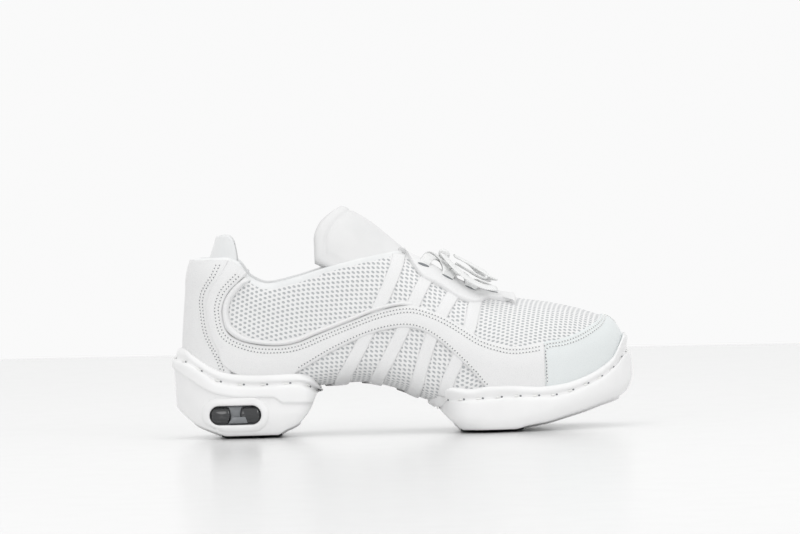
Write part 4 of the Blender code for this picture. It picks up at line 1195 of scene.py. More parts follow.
def lay(build: Build, x: np.ndarray, turn: np.ndarray, height: np.ndarray, back: float = -0.0003) -> None:
    """Adds a closed body: its face at these heights over the form, and its back just inside it.

    Args:
        build: The piece that it joins.
        x: Stations.
        turn: Angles from the crown.
        height: The face's heights.
        back: The back's height.
    """
    top, low = face(x, turn, height), face(x, turn, back)
    flat = LAST.point(x, turn)
    uv = np.stack(np.broadcast_arrays(run_along(flat.mean(axis=1))[:, None], run_along(flat, 1)), axis=-1) / MM
    build.grid(top, uv)
    build.grid(low, uv, flip=True)
    rims = ((top, low, np.s_[0]), (low, top, np.s_[-1]), (low, top, np.s_[:, 0]), (top, low, np.s_[:, -1]))
    for first, second, rim in rims:
        build.grid(np.stack([first[rim], second[rim]]), np.stack([uv[rim], uv[rim]]))


def lipped(distance: np.ndarray, radius: float) -> np.ndarray:
    """The rounded edge of a layer: 0.25 at its edge, 1 past the radius."""
    return 0.25 + 0.75 * domed(distance, radius)


@dataclass
class Stitcher:
    """Sewing thread: short stitches, each with a dark disc of painted shade at its needle hole."""

    pitch: float = 0.0019
    length: float = 0.0012
    radius: float = 0.00030
    hole_shift: float = 0.72
    hole_size: float = 1.35
    threads: Build = field(default_factory=Build)
    holes: Build = field(default_factory=Build)

    def sew(self, rows: np.ndarray, pitch: float | None = None) -> None:
        """Sews along rows of (station, share, height over the form).

        Args:
            rows: The seam's rows.
            pitch: Distance from stitch to stitch, or None for the thread's own.
        """
        step = pitch or self.pitch
        line = on_form(rows)
        count = max(int(run_along(line)[-1] / step), 2)
        dense = evened(rows, count * 2 + 1, line)
        turn = LAST.turn(dense[:, 0], dense[:, 1])
        places = face(dense[:, 0], turn, dense[:, 2])
        normals = LAST.normal(dense[:, 0], turn)
        for k in range(1, len(places) - 1, 2):
            self.stitch(places[k], places[k + 1] - places[k - 1], normals[k], self.length * step / self.pitch)

    def stitch(self, place: np.ndarray, along: np.ndarray, normal: np.ndarray, length: float) -> None:
        """One stitch: a bead of thread that dips at both ends, and a disc of painted shade at the needle hole at its
        end.

        Args:
            place: Its middle.
            along: The seam's direction.
            normal: The face's normal.
            length: The bead's length.
        """
        along = unit(along)
        across = unit(np.cross(normal, along))
        t = np.linspace(-0.5, 0.5, 6)
        lift = self.radius * (1 - (2 * np.abs(t)) ** 3 * 1.6)
        centre = place + along * (t * length)[:, None] + normal * lift[:, None]
        turn = np.linspace(0, 2 * np.pi, 6, endpoint=False)
        ring = across * np.cos(turn)[:, None] + normal * np.sin(turn)[:, None]
        wide = self.radius * np.sqrt(np.clip(1 - (2 * np.abs(t)) ** 4, 0.02, 1))
        self.threads.grid(centre[:, None] + ring[None] * wide[:, None, None], closed=True)
        # Painted shade: a dark disc laid just over the face at the needle hole.
        ring = along * np.cos(turn)[:, None] + across * np.sin(turn)[:, None]
        spot = place + along * length * self.hole_shift
        wide = self.radius * self.hole_size
        disc = np.stack([spot + ring * wide + normal * 0.00008, spot + ring * 1e-6 + normal * 0.00012])
        self.holes.grid(disc, closed=True)


@dataclass
class Upper:
    """The mesh shell: padded at the collar, open at the collar and the throat."""

    columns: int = 210
    rows: int = 84
    rim_steps: int = 9
    throat_rows_mm: tuple[float, ...] = (5.2, 3.5, 2.2, 1.2, 0.5, 0.1, 0.0)
    heel_pad_to: float = 0.090
    heel_pad_fade: float = 0.030
    front_pad: float = 0.0016
    front_pad_to: float = 0.14
    vamp_closer: float = 0.28
    rim_lining: float = 0.0042

    def build(self) -> bpy.types.Object:
        """Builds the shell with its lining, one column of points after another.

        Returns:
            The shell.
        """
        shares = (crowded(self.columns) + np.linspace(0, 1, self.columns)) / 2
        stations = LAST.first + (LAST.last - LAST.first) * shares
        throat = LENGTH * LAST.throat_end - np.array(self.throat_rows_mm) * MM
        stations = np.sort(np.concatenate([stations, throat]))
        work = Build()
        for side in Side:
            edges = np.array([LAST.edge(x, side) for x in stations])
            t = 1 - (1 - np.linspace(0, 1, self.rows)) ** 1.25
            share = side.value * 1.0 + (edges[:, None] - side.value) * t
            x = np.broadcast_to(stations[:, None], share.shape)
            turn = LAST.turn(x, share)
            turn[:, 0] = side.value * np.pi
            girth = LAST.girth(stations, side.value)[:, None]
            down = np.abs(share - edges[:, None]) * girth
            is_open = np.abs(edges) > 1e-6
            heelward = ease((self.heel_pad_to - stations) / self.heel_pad_fade)[:, None]
            front = (is_open & (stations < self.front_pad_to))[:, None]
            pad = (COLLAR_PAD - WALL) * heelward + self.front_pad * front
            wall = WALL + pad * (1 - ease(down / PAD_DEPTH))
            half = wall[:, -1:] / 2
            pull = np.where(is_open[:, None], half * (1 - domed(down, half)), 0)
            outer = face(x, turn, -pull)
            inner = face(x, turn, -wall + pull)
            closer = 1 + self.vamp_closer * ease((x - 0.165) / 0.04)
            uv = np.stack([x, share * girth * closer], axis=-1) / MM
            flip = side is Side.INNER
            piped = is_open[:, None] & (down < self.rim_lining)
            work.grid(outer, uv, flip=not flip, skip=lambda i, j, cut=piped: cut[i, j])
            work.grid(outer, uv, flip=not flip, slot=1, skip=lambda i, j, cut=piped: not cut[i, j])
            work.grid(inner, uv, flip=flip, slot=1)
            rim = np.linspace(0, 1, self.rim_steps)[None, :, None]
            band = outer[:, -1:, :] * (1 - rim) + inner[:, -1:, :] * rim
            work.grid(
                band, np.broadcast_to(uv[:, -1:], band.shape[:2] + (2,)), flip=not flip, slot=1,
                skip=lambda i, j, gap=is_open: not gap[i] and not gap[i + 1],
            )
        return work.done("upper_shell", (SPACER, LINING), "mesh", ("upper",))


@dataclass
class Overlays:
    """The leather on the upper: counter, wave bands, piping, toe cap, eyestay and straps, with their seams."""

    stitcher: Stitcher
    leather: float = 0.0012
    band: float = 0.0019
    piping: float = 0.0031
    eyestay: float = 0.0028
    strap: float = 0.0011
    strap_width: float = 0.0075
    counter_seams: tuple[float, ...] = (0.0040, 0.0062)
    band_seams: tuple[float, ...] = (0.0022, 0.0043)
    toe_seams: tuple[float, ...] = (0.0022, 0.0042)
    furrow: float = 0.0006
    band_furrow: float = 0.00018
    toe_furrow: float = 0.0002
    band_crown: float = 0.0006
    leather_edge: float = 0.0009
    band_edge: float = 0.0011
    strap_edge: float = 0.0006
    eyestay_edge: float = 0.0016
    counter_tuck: float = 0.003
    counter_drop: float = 0.0024
    counter_overlap: float = 0.0012
    toe_tuck: float = 0.022

    def build(self) -> None:
        """Builds all of them."""
        self.counter()
        for side in Side:
            self.wave_band(side)
            self.roll(side)
            self.straps(side)
        self.toe_cap()
        self.throat_strip()

    def counter(self) -> None:
        """The leather round the back of the heel, from the sole's lip to the collar."""
        seam = Line(tuple(sorted((p[1], p[0]) for p in COUNTER_SEAM)))
        lip, collar = Line(HEEL_LIP), LAST.collar
        s, t = np.linspace(-1, 1, 121), np.linspace(0, 1, 70)
        side = np.where(s < 0, -1, 1)[None, :]
        x = np.broadcast_to(LAST.first + 0.02 * np.abs(s) ** HEEL_CROWD, (len(t), len(s))).copy()
        z = np.zeros_like(x)
        for _ in range(10):
            seen = x + LAST.lean(x, z)
            low = lip.at(seen / LENGTH) * SEAT_HEIGHT - self.counter_tuck
            high = collar.at(seen / LENGTH) * HEEL_HEIGHT - self.counter_drop
            z = low + (high - low) * t[:, None]
            reach = seam.at(z / HEEL_HEIGHT) * LENGTH + self.counter_overlap
            end = np.maximum(reach - LAST.lean(x, z), LAST.first + 0.002)
            x = LAST.first + (end - LAST.first) * (np.abs(s) ** HEEL_CROWD)[None, :]
        turn = LAST.turn_of(x, z, side)
        work = Build()
        runs = run_along(LAST.point(x, turn), 1)
        height = self.leather * lipped(np.minimum(runs, runs[:, -1:] - runs), self.leather_edge)
        lay(work, x, turn, height)
        work.done("heel_counter_leather", (LEATHER_WHITE,), "leather", ("heel_counter",))
        share = LAST.shares_of(x, turn)
        for seat in self.counter_seams:
            for distance in (runs, runs[:, -1:] - runs):
                self.stitcher.sew(seam_rows(x, share, height, distance, seat, 3))

    def wave_edges(self, side: Side) -> tuple[np.ndarray, np.ndarray]:
        """The wave band's lower and upper edge as paired rows of (station, share)."""
        return edge_of([k[0] for k in WAVE_KNOTS], side, 6), edge_of([k[1] for k in WAVE_KNOTS], side, 6)

    def wave_band(self, side: Side) -> None:
        """The C at the heel that runs forward as a wave and becomes the mudguard, sewn along both edges.

        Args:
            side: The side of the shoe.
        """
        a, b = self.wave_edges(side)
        x, share, turn, low, high = strip(a, b, 300, 34)
        crown = self.band_crown * np.sin(np.pi * low / np.maximum(low + high, 1e-6))
        height = self.band * lipped(np.minimum(low, high), self.band_edge) + crown
        for seat in self.band_seams:
            height = height - self.band_furrow * ripple(high, seat, self.furrow)
        work = Build()
        lay(work, x, turn, height)
        work.done(f"wave_band_{side.word}_leather", (LEATHER_WHITE,), "leather", (f"wave_band_{side.word}",))
        for seat in self.band_seams:
            self.stitcher.sew(seam_rows(x, share, height, high, seat, 4))
        foot = seam_rows(x, share, height, low, self.band_seams[0], 4)
        self.stitcher.sew(foot[(foot[:, 0] > 0.272 * LENGTH) & (foot[:, 0] < 0.684 * LENGTH)])

    def roll(self, side: Side) -> None:
        """The raised roll along the band's top edge.

        Args:
            side: The side of the shoe.
        """
        a = edge_of(BAND_TOP, side, 8)
        b = edge_of(PANEL_EDGE, side, 8)
        a, b = evened(a, 200, on_form(a)), evened(b, 200, on_form(b))
        x, _, turn, low, high = strip(a, b, 220, 15)
        bow = np.sqrt(np.clip(1 - (2 * low / np.maximum(low + high, 1e-6) - 1) ** 2, 0, 1))
        row = np.arange(len(x))
        ends = ease(np.minimum(row / 5.0, (len(x) - 1 - row) / 26.0))[:, None]
        work = Build()
        lay(work, x, turn, 0.0003 + self.piping * bow * (0.25 + 0.75 * ends))
        work.done(f"piping_{side.word}_roll", (LEATHER_WHITE,), "leather", (f"piping_{side.word}",))

    def straps(self, side: Side) -> None:
        """The four support straps between the sole and the eyestay.

        Args:
            side: The side of the shoe.
        """
        for number, route in enumerate(STRAPS, 1):
            line = smooth([(p[0] * LENGTH, p[1] * HEEL_HEIGHT) for p in route], 10)
            run = unit(np.gradient(line, axis=0))
            off = np.stack([-run[:, 1], run[:, 0]], axis=1) * self.strap_width / 2
            keep = line[:, 1] < HEEL_HEIGHT * (1.0 if number > 1 else 0.985)
            a, b = (np.array([LAST.from_side(*p, side) for p in (line + sign * off)[keep]]) for sign in (-1, 1))
            x, _, turn, low, high = strip(a, b, 90, 15)
            near = np.minimum(low, high)
            height = self.strap * lipped(near, self.strap_edge) + 0.00015 * ease((near - 0.0008) / 0.001)
            work = Build()
            lay(work, x, turn, height)
            name = f"strap_{side.word}_{number}"
            work.done(name + "_leather", (LEATHER_WHITE,), "leather", (name,))

    def toe_cap(self) -> None:
        """The leather round the toe, from its curved seam to inside the sole's lip."""
        halves = []
        for side in Side:
            edge = [(0.800, 0.226), (0.800, 0.300), (0.800, 0.390), (0.801, 0.478)] + list(TOE_CAP_EDGE)
            seam = edge_of(edge, side, 8)
            tip = np.array([[0.952 * LENGTH, 0.0]])
            near = seam[seam[:, 0] < 0.9445 * LENGTH]
            bridge = np.linspace(0, 1, 12)[1:, None]
            arc = near[-1] + (tip[0] - near[-1]) * np.hstack([np.sin(bridge * np.pi / 2), bridge])
            seam = np.vstack([near, arc])
            seam = evened(seam, 90, on_form(seam))
            lip = Line(FOREFOOT_LIP)
            shares = (0.801, 0.83, 0.86, 0.89, 0.92, 0.945, 0.958)
            low = edge_of([(s, float(lip.at(s)) * SEAT_HEIGHT / HEEL_HEIGHT - self.toe_tuck) for s in shares], side, 8)
            tail = [[0.972 * LENGTH, 0.42], [LAST.last - 0.0004, 0.25], [LAST.last - 0.0001, 0.0]]
            low = np.vstack([low, smooth(np.vstack([low[-1:], np.array(tail) * (1, side.value)]), 8)[1:]])
            low = evened(low, 90, on_form(low))
            halves.append((seam, low))
        seam, low = (joined(*pair) for pair in zip(*halves))
        t = np.concatenate([np.linspace(0, 0.08, 9)[:-1], np.linspace(0.08, 1, 34)])
        x, share, turn, runs = between(seam, low, t)
        work = Build()
        height = self.leather * lipped(runs, self.leather_edge)
        height = height - self.toe_furrow * ripple(runs, self.toe_seams[0], self.furrow)
        lay(work, x, turn, height)
        work.done("toe_cap_leather", (LEATHER_TOE,), "leather", ("toe_cap",))
        for seat in self.toe_seams:
            self.stitcher.sew(seam_rows(x, share, height, runs, seat, 6))
        for side in Side:
            rows = edge_of([(0.8005, 0.262), (0.8005, 0.36), (0.8005, 0.462)], side, 20)
            self.stitcher.sew(np.hstack([rows, np.full((len(rows), 1), 0.0013)]), 0.0030)

    def throat_strip(self) -> None:
        """The thick strip round the throat, that the lace's eyelets are punched in."""
        halves = []
        for side in Side:
            outer = edge_of(((0.5125, 0.995), *EYESTAY_EDGE), side, 8)
            front = np.array([[0.7470, 0.16], [0.7490, 0.08], [0.7490, 0.0]]) * (LENGTH, side.value)
            outer = np.vstack([outer, smooth(np.vstack([outer[-1:], front]), 6)[1:]])
            outer = evened(outer, 120, on_form(outer))
            rounded = LAST.throat_end - 0.0297 * (1 - np.linspace(0.17, 1, 16)) ** 2 * 1.2
            shares = np.concatenate([np.linspace(0.4985, 0.675, 30), rounded])
            inner = np.array([LAST.from_top(s * LENGTH, float(LAST.throat_half(np.asarray(s))), side) for s in shares])
            inner[-1, 1] = 0.0
            inner = evened(inner, 120, on_form(inner))
            halves.append((outer, inner))
        a, b = (joined(*pair) for pair in zip(*halves))
        x, _, turn, low = between(a, b, crowded(26))
        height = self.eyestay * lipped(np.minimum(low, low[:, -1:] - low), self.eyestay_edge)
        work = Build()
        lay(work, x, turn, height)
        work.done("eyestay_leather", (LEATHER_WHITE,), "leather", ("eyestay",))


@dataclass
class Window:
    """The oval window in the heel unit: raised rim, floor, two dark pods and a lug in front of them.

    A profile's rows are (growth of the oval, height over the unit's face), the lug's (share of its outline, height).
    """

    centre: tuple[float, float] = (0.0376, 0.0140)
    length: float = 0.0300
    height: float = 0.0112
    rim: tuple[tuple[float, float], ...] = (
        (0.0048, -0.0012), (0.0046, 0.0001), (0.0040, 0.0007), (0.0030, 0.0010), (0.0016, 0.0011), (0.0006, 0.0009),
        (0.0001, 0.0003), (0.0, -0.0008), (0.0, -0.0050), (0.0012, -0.0056), (0.0048, -0.0012),
    )
    floor: tuple[tuple[float, float], ...] = (
        (-0.0064, -0.0052), (0.0003, -0.0052), (0.0003, -0.0024), (-0.0012, -0.0020), (-0.0035, -0.0019),
        (-0.0065, -0.0019),
    )
    pod: tuple[tuple[float, float], ...] = (
        (-0.0065, -0.0040), (0.0, -0.0040), (0.0, -0.0019), (-0.0009, -0.0008), (-0.0024, -0.0001), (-0.0040, 0.0002),
        (-0.0065, 0.0003),
    )
    look_x: tuple[float, float] = (0.010, 0.066)
    look_z: tuple[float, float] = (0.001, 0.025)
    look_near: float = 0.0012
    pod_size: tuple[float, float] = (0.40, 0.90)
    pod_shift: float = 0.0086
    lug_corners: tuple[tuple[float, float], ...] = (
        (-0.0042, -0.0046), (0.0072, -0.0046), (0.0058, -0.0009), (-0.0018, -0.0009),
    )
    lug: tuple[tuple[float, float], ...] = (
        (0.001, -0.0040), (1.0, -0.0040), (1.0, -0.0002), (0.97, 0.0002), (0.90, 0.0004), (0.001, 0.0004),
    )

    def reach(self, x: np.ndarray, z: np.ndarray) -> np.ndarray:
        """The distance from the oval's middle line of places seen from the side."""
        off = np.maximum(np.abs(x - self.centre[0]) - (self.length - self.height) / 2, 0)
        return np.hypot(off, z - self.centre[1])

    def flank(self, rows: np.ndarray, x: np.ndarray, z: np.ndarray) -> np.ndarray:
        """The heel unit's outer face at a place seen from the side.

        Args:
            rows: The unit's skin.
            x: Where it shows.
            z: Heights.

        Returns:
            The y of the face.
        """
        flat = rows[:, : rows.shape[1] // 2].reshape(-1, 3)
        (x_from, x_to), (z_from, z_to) = self.look_x, self.look_z
        flat = flat[(flat[:, 0] > x_from) & (flat[:, 0] < x_to) & (flat[:, 2] > z_from) & (flat[:, 2] < z_to)]
        out = np.empty(x.shape)
        for k in np.ndindex(x.shape):
            gap = (flat[:, 0] - x[k]) ** 2 + (flat[:, 2] - z[k]) ** 2
            weight = np.exp(-gap / self.look_near**2) + 1e-12
            out[k] = (flat[:, 1] * weight).sum() / weight.sum()
        return out

    def oval(self, grow: float, count: int = 96) -> np.ndarray:
        """A level capsule's outline, evenly spaced.

        Args:
            grow: How far it lies outside the window's own.
            count: Its points.

        Returns:
            Rows of (x, z).
        """
        radius = self.height / 2 + grow
        straight = self.length / 2 - self.height / 2
        turn = np.linspace(0, 2 * np.pi, 400)
        line = np.stack([np.sign(np.cos(turn)) * straight + radius * np.cos(turn), radius * np.sin(turn)], axis=1)
        return evened(np.vstack([line, line[:1]]), count + 1)[:-1] + np.array(self.centre)

    def body(
        self, name: str, rows: np.ndarray, profile: Sequence[tuple[float, float]], finish: Finish, slot: str,
        nodes: Sequence[str] = (), scale: tuple[float, float, float] = (1.0, 1.0, 0.0),
    ) -> None:
        """A body turned round the oval from its profile, closed at its middle.

        Args:
            name: The piece's name.
            rows: The unit's skin.
            profile: Its profile.
            finish: Its finish.
            slot: A material slot's name, passed on when the piece is made.
            nodes: The solids that it stands for.
            scale: The oval's scale along and upwards, and its shift along.
        """
        rings = []
        cx, cz = self.centre
        for grow, rise in profile:
            line = self.oval(grow) if grow > -0.0055 else (cx, cz) + (self.oval(-0.0053) - (cx, cz)) * 1e-3
            x = cx + (line[:, 0] - cx) * scale[0] + scale[2]
            z = cz + (line[:, 1] - cz) * scale[1]
            y = self.flank(rows, x, z) - rise
            rings.append(np.stack([x, y, z], axis=1))
        work = Build()
        work.grid(np.stack(rings), closed=True)
        work.done(name, (finish,), slot, nodes)

    def build(self, rows: np.ndarray) -> None:
        """Builds the rim, the floor, the pods and the lug.

        Args:
            rows: The unit's skin.
        """
        self.body("window_rim_moulded", rows, self.rim, FOAM, "sole")
        self.body("window_floor_plate", rows, self.floor, GREY_PLASTIC, "capsule", ("heel_window",))
        for word, shift in (("rear", -self.pod_shift), ("front", self.pod_shift)):
            scale = (*self.pod_size, shift)
            self.body(f"window_pod_{word}", rows, self.pod, DARK_PLASTIC, "capsule", scale=scale)
        corners = np.array(self.lug_corners)
        middle = corners.mean(axis=0)
        line = evened(np.vstack([corners, corners[:1]]), 33)[:-1]
        rings = []
        for share, rise in self.lug:
            place = middle + (line - middle) * share + np.array(self.centre)
            y = self.flank(rows, place[:, 0], place[:, 1]) - rise
            rings.append(np.stack([place[:, 0], y, place[:, 1]], axis=1))
        work = Build()
        work.grid(np.stack(rings), closed=True)
        work.done("window_lug_moulded", (GREY_PLASTIC,), "capsule")


@dataclass
class SoleUnit:
    """One unit of the split sole: a cup round the upper with a lip, a groove and a rounded foot."""

    name: str
    node: str
    rings: tuple[Ring, ...]
    lines: dict[str, Line]
    rear_corner: float
    front_corner: float
    half: int = 190
    steps: int = 5
    dash_pitch: float = 0.0135
    window: Window | None = None
    window_rim: float = 0.0022
    window_depth: float = 0.0055
    tread: float = 0.0016
    end_run: float = 0.045
    corner_fullness: float = 3.0
    foot_blend: float = 0.0005
    flat_below: float = 0.0010
    dash_length: float = 0.0034

    def outline(self, out: float, side: int) -> np.ndarray:
        """The upper's widest outline on one side, grown outwards.

        Args:
            out: How far it is grown.
            side: -1 for the outer side, 1 for the inner.

        Returns:
            Rows of (x, y).
        """
        x = LAST.first + (LAST.last - LAST.first) * crowded(400)
        y = LAST.middle(x) + side * LAST.half_width(x, np.full_like(x, side))
        line = np.stack([x, y], axis=1)
        run = np.empty_like(line)
        run[1:-1] = line[2:] - line[:-2]
        run[0], run[-1] = (0, side), (0, -side)
        run = unit(run)
        return line + np.stack([-run[:, 1], run[:, 0]], axis=1) * side * out

    def loop(self, ring: Ring) -> np.ndarray:
        """One ring's points: the outer side forwards, then the inner side back.

        Args:
            ring: The ring.

        Returns:
            Its points.
        """
        rear, front = ring.rear * LENGTH, ring.front * LENGTH
        halves = []
        for side in (-1, 1):
            path = self.outline(ring.out * LIP_WIDTH, side)
            start = rear if self.rear_corner else path[0, 0]
            end = front if self.front_corner else path[-1, 0]
            x = start + (end - start) * crowded(self.half + 1)
            y = np.interp(x, path[:, 0], path[:, 1])
            centre = LAST.middle(x)
            if self.rear_corner:
                y = centre + (y - centre) * rounding((x - start) / self.rear_corner, self.corner_fullness)
            else:
                x = x + (rear - start) * np.maximum(0, 1 - (x - start) / self.end_run)
            if self.front_corner:
                y = centre + (y - centre) * rounding((end - x) / self.front_corner, self.corner_fullness)
            else:
                x = x + (front - end) * np.maximum(0, 1 - (end - x) / self.end_run)
            z = self.lines[ring.line].at(x / LENGTH) * SEAT_HEIGHT - ring.drop * WELT_DEPTH
            halves.append(np.stack([x, y, z], axis=1))
        halves[1][0] = halves[0][0]
        halves[1][-1] = halves[0][-1]
        return np.vstack([halves[0], halves[1][::-1][1:-1]])

    def skin(self) -> np.ndarray:
        """The unit's outside from the lip's inner edge to its foot, as rows of rings.

        Returns:
            The rows of points.
        """
        loops = np.stack([self.loop(ring) for ring in self.rings])
        count = loops.shape[1]
        rows = smooth(loops.reshape(len(loops), -1), self.steps).reshape(-1, count, 3)
        under = Line(UNDERSIDE).at(rows[..., 0] / LENGTH) * SEAT_HEIGHT + self.tread
        over = rows[..., 2] - under
        rows[..., 2] = under + (over + np.sqrt(over * over + 4 * self.foot_blend**2)) / 2
        return rows

    def fill(
        self, ring: np.ndarray, height: Callable[[np.ndarray, np.ndarray], np.ndarray], rows: int = 10
    ) -> np.ndarray:
        """Rows from a ring to the unit's middle line.

        Args:
            ring: The ring's points.
            height: The height at a place seen from above.
            rows: Rows wanted.

        Returns:
            The rows of points.
        """
        out = []
        for t in np.linspace(0, 1, rows):
            line = ring.copy()
            centre = LAST.middle(line[:, 0])
            line[:, 1] = centre + (line[:, 1] - centre) * (1 - t)
            line[:, 2] = height(line[:, 0], line[:, 1]) if t > 0 else line[:, 2]
            out.append(line)
        return np.stack(out)

    def build(self) -> np.ndarray:
        """Builds the unit.

        Returns:
            Its skin's rows of points.
        """
        rows = self.skin()
        shaped = rows.copy()
        if self.window:
            near = self.window.reach(rows[..., 0], rows[..., 2]) < self.window.height / 2 + self.window_rim
            dent = near & (rows[..., 1] < 0) & (rows[..., 2] > 0.004)
            shaped[..., 1] += np.where(dent, self.window_depth, 0)
        work = Build()
        uv = np.stack(np.broadcast_arrays(run_along(rows[0]), run_along(rows)), axis=-1) / MM
        work.grid(shaped, uv, closed=True)

        def cup(x: np.ndarray, y: np.ndarray) -> np.ndarray:
            """The height of the cup's floor, just over the upper's underside.

            Args:
                x: Stations.
                y: Distances from the row frame's middle.

            Returns:
                The heights.
            """
            at = np.clip(x, LAST.first + 1e-4, LAST.last - 1e-4)
            wide = LAST.half_width(at, np.sign(y - LAST.middle(at)))
            bottom, widest, _ = LAST.levels(at)
            power = LAST.column("floor", at)
            reach = np.clip(np.abs(y - LAST.middle(at)) / np.maximum(wide, 1e-6), 0, 0.97)
            return widest - (widest - bottom) * (1 - reach**power) ** (1 / power) + 0.0006

        under = Line(UNDERSIDE)
        top = self.fill(rows[0], cup)
        work.grid(top, np.zeros(top.shape[:2] + (2,)), closed=True, flip=True)
        foot = self.fill(rows[-1], lambda x, y: under.at(x / LENGTH) * SEAT_HEIGHT)
        foot[1, :, 2] += self.tread
        # Painted contact shadow: the flat faces of the underside, where the sole meets the table, take the dark second
        # slot.
        flat = under.at(foot[0, :, 0] / LENGTH) * SEAT_HEIGHT < self.flat_below
        blank = np.zeros(foot.shape[:2] + (2,))
        work.grid(foot, blank, closed=True, slot=1, skip=lambda i, j: not flat[j])
        work.grid(foot, blank, closed=True, skip=lambda i, j: bool(flat[j]))
        work.done(self.name, (FOAM, CONTACT_SHADE), "sole", (self.node,))
        return rows

    def dash(self, rows: np.ndarray, work: Stitcher) -> None:
        """Sews the sparse dashes into the groove.

        Args:
            rows: The unit's skin.
            work: The thread that sews them.
        """
        index = [k for k, ring in enumerate(self.rings) if ring.line == "groove"][0] * self.steps
        ring = rows[index]
        run = run_along(ring)
        for at in np.arange(0.006, run[-1] - 0.004, self.dash_pitch):
            place = np.array([np.interp(at, run, ring[:, k]) for k in range(3)])
            ahead = np.array([np.interp(at + 0.001, run, ring[:, k]) for k in range(3)])
            along = ahead - place
            normal = unit(np.array([along[1], -along[0], 0.0]))
            work.stitch(place + normal * 0.0002, along, normal, self.dash_length)


